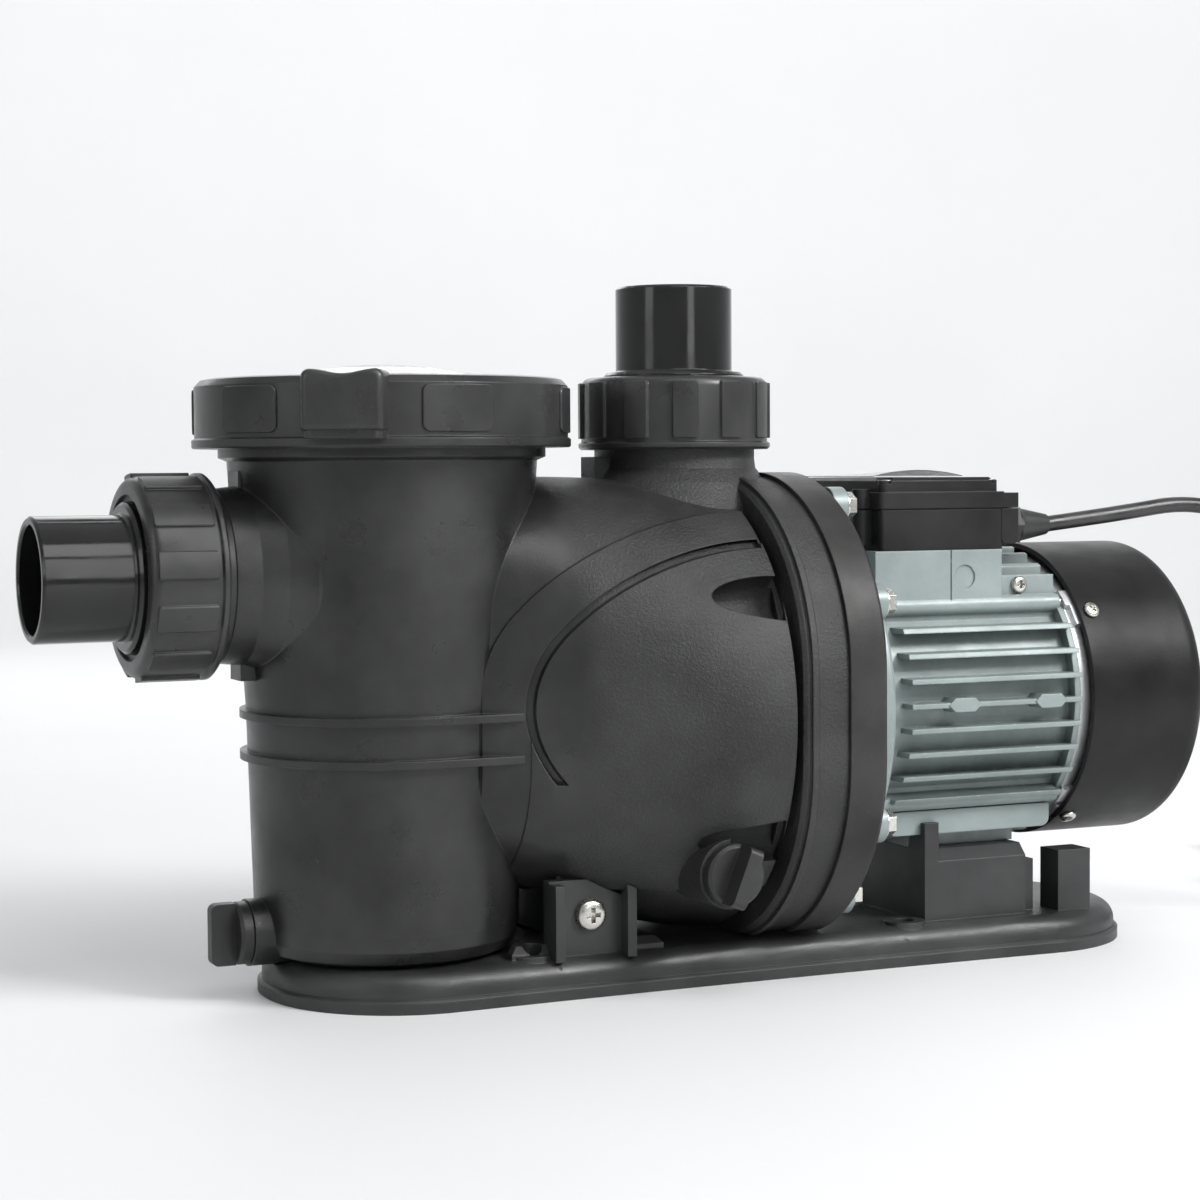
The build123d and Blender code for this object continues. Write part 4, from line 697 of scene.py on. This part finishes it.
# ---------------------------------------------------------------- terminal box film
FILM_LENGTH = 0.046
FILM_WIDTH = 0.060
FILM_THICKNESS = 0.0003
FILM_SHIFT = 0.004        # from the lid's middle towards the pump
FILM_GAP = 0.0004
FILM_BOW = 0.0026
FILM_STEPS = 12


def add_lid_film(material):
    """A blank thin film on the terminal box, bowed up a little along its near edge."""
    low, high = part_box("terminal_box_lid")
    centre = (low + high) / 2
    sheets = ([], [])
    for sheet, rise in zip(sheets, (0.0, FILM_THICKNESS)):
        for i in range(FILM_STEPS + 1):
            row = []
            for j in range(FILM_STEPS + 1):
                u, v = i / FILM_STEPS - 0.5, j / FILM_STEPS - 0.5
                lift = FILM_GAP + FILM_BOW * (1 - (2 * u) ** 2) * (0.5 - v)
                row.append((centre.x - FILM_SHIFT + FILM_LENGTH * u, centre.y + FILM_WIDTH * v,
                            high.z + lift + rise))
            sheet.append(row)
    bm = bmesh.new()
    add_slab(bm, *sheets)
    add_mesh("terminal_lid_film", bm, "root", material)


# ---------------------------------------------------------------- union nuts
NUT_SKIRT_R = 0.0401
NUT_PAD_COUNT = 12
NUT_EDGE_Z = 0.0265       # where the rounded front edge starts
NUT_EDGE_IN = 0.0038
NUT_EDGE_UP = 0.0043
NUT_PAD_Z = (0.0048, 0.0285)
NUT_PAD_HALF_WIDTH = 0.0054
NUT_PAD_CORNER = 0.0008
NUT_PAD_PROUD = 0.0013


def add_union_nut(name, node, body, place, first_pad, material):
    """A union nut with raised grip pads and a rounded front edge, in a CAD nut's place."""
    section = [(0.0364, 0.0), (0.0403, 0.0), (0.0413, 0.0010), (0.0413, 0.0026),
               (NUT_SKIRT_R, 0.0034), (NUT_SKIRT_R, NUT_EDGE_Z)]
    for step in range(1, 6):
        turn = radians(18 * step)
        section.append((NUT_SKIRT_R - NUT_EDGE_IN * (1 - cos(turn)), NUT_EDGE_Z + NUT_EDGE_UP * sin(turn)))
    section += [(0.0330, 0.0309), (0.0324, 0.0288), (0.0304, 0.0288), (0.0304, 0.0262), (0.0364, 0.0262)]
    bm = bmesh.new()
    add_swept(bm, ring_path(), section)
    for step in range(NUT_PAD_COUNT):
        angle = radians(360 / NUT_PAD_COUNT * step + first_pad)
        add_wrapped_pad(bm, angle, NUT_SKIRT_R, *NUT_PAD_Z, NUT_PAD_HALF_WIDTH, NUT_PAD_CORNER,
                        NUT_PAD_PROUD)
    bmesh.ops.transform(bm, matrix=place, verts=bm.verts)
    piece = add_mesh(name, bm, body, material)
    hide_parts(node)


def add_union_nuts(material):
    """Both union nuts, each with its inner end where the CAD nut's is."""
    facing_pipe = Matrix(((0, 0, -1), (1, 0, 0), (0, -1, 0))).to_4x4()
    centre = middle("suction_union_nut")
    place = Matrix.Translation((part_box("suction_union_nut")[1].x, centre.y, centre.z)) @ facing_pipe
    add_union_nut("suction_nut_shell", "suction_union_nut", "suction_nut", place, 8.6, material)
    centre = middle("discharge_union_nut")
    place = Matrix.Translation((centre.x, centre.y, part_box("discharge_union_nut")[0].z))
    add_union_nut("discharge_nut_shell", "discharge_union_nut", "discharge_nut", place, 10.4, material)


# ---------------------------------------------------------------- lid ring
LUG_ANGLES = (60, 240)
PAD_TURNS = (33, 90, 147)     # degrees on from each lug
LID_WALL_R = 0.0763
LID_PAD_LOW = 0.0058          # both above the ring's underside
LID_PAD_HIGH = 0.0242
LID_PAD_HALF_WIDTH = 0.0150
LID_PAD_CORNER = 0.0032
LID_PAD_PROUD = 0.0010
LUG_HALF_WIDTH = 0.0160
LUG_HALF_HEIGHT = 0.0118
LUG_TOP_CORNER = 0.0032
LUG_LOW_CORNER = 0.0012
LUG_DIP = 0.0018
LUG_ABOVE_RING = 0.0016


def add_lid_pads(material):
    """The lid ring's raised grip pads."""
    bm = bmesh.new()
    ring_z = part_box("lid_ring")[0].z
    for lug_angle in LUG_ANGLES:
        for turn in PAD_TURNS:
            add_wrapped_pad(bm, radians(lug_angle + turn), LID_WALL_R, ring_z + LID_PAD_LOW,
                            ring_z + LID_PAD_HIGH, LID_PAD_HALF_WIDTH, LID_PAD_CORNER, LID_PAD_PROUD)
    bmesh.ops.translate(bm, verts=bm.verts, vec=(POT.x, POT.y, 0))
    add_mesh("lid_ring_pads", bm, "lid_ring", material)


def lug_outline():
    """A lug seen from outside, as (across, up) points about its middle, with a thumb dip in its top."""
    outline = []
    corners = ((1, -1, 270, LUG_LOW_CORNER), (1, 1, 0, LUG_TOP_CORNER),
               (-1, 1, 90, LUG_TOP_CORNER), (-1, -1, 180, LUG_LOW_CORNER))
    for side, end, start, bend in corners:
        for step in range(5):
            turn = radians(start + 22.5 * step)
            outline.append((side * (LUG_HALF_WIDTH - bend) + bend * cos(turn),
                            end * (LUG_HALF_HEIGHT - bend) + bend * sin(turn)))
        if (side, end) == (1, 1):
            for step in range(1, 12):
                share = 1 - step / 6
                outline.append((share * (LUG_HALF_WIDTH - LUG_TOP_CORNER),
                                LUG_HALF_HEIGHT - LUG_DIP * (0.5 + 0.5 * cos(pi * share))))
    return outline


def add_lid_lugs(material):
    """A rounded cover over each of the lid ring's two hand lugs."""
    bm = bmesh.new()
    lug_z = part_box("lid_ring")[1].z + LUG_ABOVE_RING - LUG_HALF_HEIGHT
    outer_edge = ((0.0700, 0.0), (0.0848, 0.0), (0.0862, 0.0004), (0.0871, 0.0012), (0.0875, 0.0024))
    for lug_angle in LUG_ANGLES:
        outwards = Vector((cos(radians(lug_angle)), sin(radians(lug_angle)), 0))
        across = Vector((-outwards.y, outwards.x, 0))
        path = []
        for reach, inset in outer_edge:
            path.append((Vector((POT.x, POT.y, lug_z)) + outwards * reach,
                         across * (1 - inset / LUG_HALF_WIDTH), Vector((0, 0, 1 - inset / LUG_HALF_HEIGHT))))
        add_swept(bm, path, lug_outline(), closed=False)
    add_mesh("lid_ring_lugs", bm, "lid_ring", material)


# ---------------------------------------------------------------- floor
FLOOR_R = 2.3
FLOOR_BEND = 0.9
WALL_TOP_Z = 3.0


def add_floor(material):
    """A flat round floor that curves up into a wall all round."""
    profile = [(0, 0.0), (FLOOR_R, 0.0)]
    for step in range(1, 13):
        turn = radians(7.5 * step)
        profile.append((FLOOR_R + FLOOR_BEND * sin(turn), FLOOR_BEND * (1 - cos(turn))))
    profile.append((FLOOR_R + FLOOR_BEND, WALL_TOP_Z))
    piece = add_mesh("studio_floor", lathe(profile, 96), None, material)


# ---------------------------------------------------------------- the object
# colour, roughness, grain, grain size, wear and edge radius
PLASTICS = {
    "base_plastic": ((0.016, 0.0165, 0.017), 0.4, 0.2, 0.0008, 0.3, 0.0006),
    "flange_plastic": ((0.013, 0.0118, 0.0112), 0.46, 0.2, 0.0008, 0.5, 0.001),
    "nut_plastic": ((0.014, 0.014, 0.0142), 0.3, 0.1, 0.0006, 0.3, 0.0007),
    "pipe_plastic": ((0.004, 0.004, 0.0042), 0.12, 0.03, 0.0006, 0.15, 0.0006),
    "plug_plastic": ((0.012, 0.012, 0.0125), 0.4, 0.15, 0.0007, 0.3, 0.0006),
    "basket_plastic": ((0.72, 0.73, 0.7), 0.42, 0.1, 0.0008, 0.1, 0.0005),
    "wet_plastic": ((0.05, 0.05, 0.055), 0.45, 0.3, 0.0007, 0.2, 0.0004),
    "cover_plastic": ((0.007, 0.0068, 0.0067), 0.38, 0.25, 0.0007, 0.2, 0.0008),
    "fan_plastic": ((0.03, 0.03, 0.031), 0.5, 0.2, 0.0007, 0.15, 0.0004),
    "box_plastic": ((0.007, 0.0068, 0.0068), 0.36, 0.12, 0.0007, 0.3, 0.0006),
    "terminal_plastic": ((0.66, 0.62, 0.5), 0.45, 0.1, 0.0008, 0.1, 0.0004),
    "capacitor_plastic": ((0.74, 0.74, 0.73), 0.25, 0.05, 0.001, 0.1, 0.0005),
    "gland_plastic": ((0.013, 0.013, 0.013), 0.4, 0.2, 0.0006, 0.2, 0.0004),
}
PLASTIC_CHANGES = {
    "flange_plastic": {"shine": 0.35},
    "pipe_plastic": {"pale": 0.02, "waves": 0.03},
    "cover_plastic": {"pale": 0.02, "shine": 0.2},
    "box_plastic": {"pale": 0.03, "shine": 0.3},
}
# colour, roughness, how much finer the tool lines are along X, Y and Z, tarnish and edge radius
METALS = {
    "spring_steel": ((0.6, 0.6, 0.61), 0.22, (1.0, 6.0, 1.0), 0.2, 0.0003),
    "shaft_steel": ((0.58, 0.58, 0.59), 0.25, (6.0, 1.0, 1.0), 0.25, 0.0003),
    "bearing_steel": ((0.66, 0.66, 0.68), 0.16, (6.0, 1.0, 1.0), 0.1, 0.0003),
    "cast_aluminium": ((0.66, 0.67, 0.68), 0.45, (1.0, 1.0, 1.0), 0.35, 0.0008),
    "screw_steel": ((0.66, 0.65, 0.61), 0.24, (3.0, 1.0, 3.0), 0.3, 0.0003),
    "insert_brass": ((0.66, 0.47, 0.2), 0.3, (6.0, 1.0, 1.0), 0.3, 0.0003),
    "pin_brass": ((0.78, 0.6, 0.3), 0.2, (1.0, 6.0, 1.0), 0.2, 0.0003),
}
# colour, roughness and grain size
RUBBERS = {
    "seal_rubber": ((0.012, 0.012, 0.012), 0.6, 0.0005),
    "seal_carbon": ((0.035, 0.035, 0.04), 0.4, 0.0004),
    "cord_rubber": ((0.02, 0.019, 0.02), 0.36, 0.0006),
    "plug_rubber": ((0.018, 0.018, 0.019), 0.5, 0.0008),
}


def finishes():
    """Each of the record's material slots with its finish."""
    finish_of = {
        "body_plastic": pump_body_plastic(),
        "clear_lid": clear_plastic("clear_lid", (0.93, 0.96, 0.97)),
        "seal_ceramic": fired_ceramic("seal_ceramic", (0.8, 0.78, 0.72)),
        "lamination_steel": stacked_sheets("lamination_steel", (0.28, 0.28, 0.3)),
        "copper": wound_copper("copper", (0.72, 0.32, 0.14)),
        "motor_paint": painted_casting("motor_paint", (0.26, 0.305, 0.301)),
    }
    for name, values in PLASTICS.items():
        finish_of[name] = moulded_plastic(name, *values, **PLASTIC_CHANGES.get(name, {}))
    for name, values in METALS.items():
        finish_of[name] = bare_metal(name, *values)
    for name, values in RUBBERS.items():
        finish_of[name] = rubber(name, *values)
    return finish_of


def finish_nodes(finish_of):
    """Gives each CAD node its material slot's finish."""
    slots = {part["node"]: part["material_slot"] for part in frame["record"]["subparts"]}
    for name, node in NODES.items():
        node.data.materials.clear()
        node.data.materials.append(finish_of[slots[name]])


# ways that a screw's head faces, from the middle of the screw
def away_from_shaft(point):
    return Vector((0, point.y - SHAFT.y, point.z - SHAFT.z))


def towards_near_side(_point):
    return Vector((0, -1, 0))


def outwards_sideways(point):
    return Vector((0, 1 if point.y > 0 else -1, 0))


def main():
    add_camera()
    finish_of = finishes()
    add_cord(finish_of["cord_rubber"])
    finish_nodes(finish_of)
    steel = finish_of["screw_steel"]
    add_screws("fan_cover_pan_screws", "fan_cover_screws", away_from_shaft, "root", steel)
    add_screws("earth_pan_screw", "earth_screw", towards_near_side, "root", steel)
    add_screws("bracket_pan_screws", "body_mount_screws", outwards_sideways, "root", steel)
    add_lid_film(finish_of["clear_lid"])
    add_lid_pads(finish_of["nut_plastic"])
    add_lid_lugs(finish_of["nut_plastic"])
    add_union_nuts(finish_of["nut_plastic"])
    add_floor(floor_paint())
    add_lights()


main()
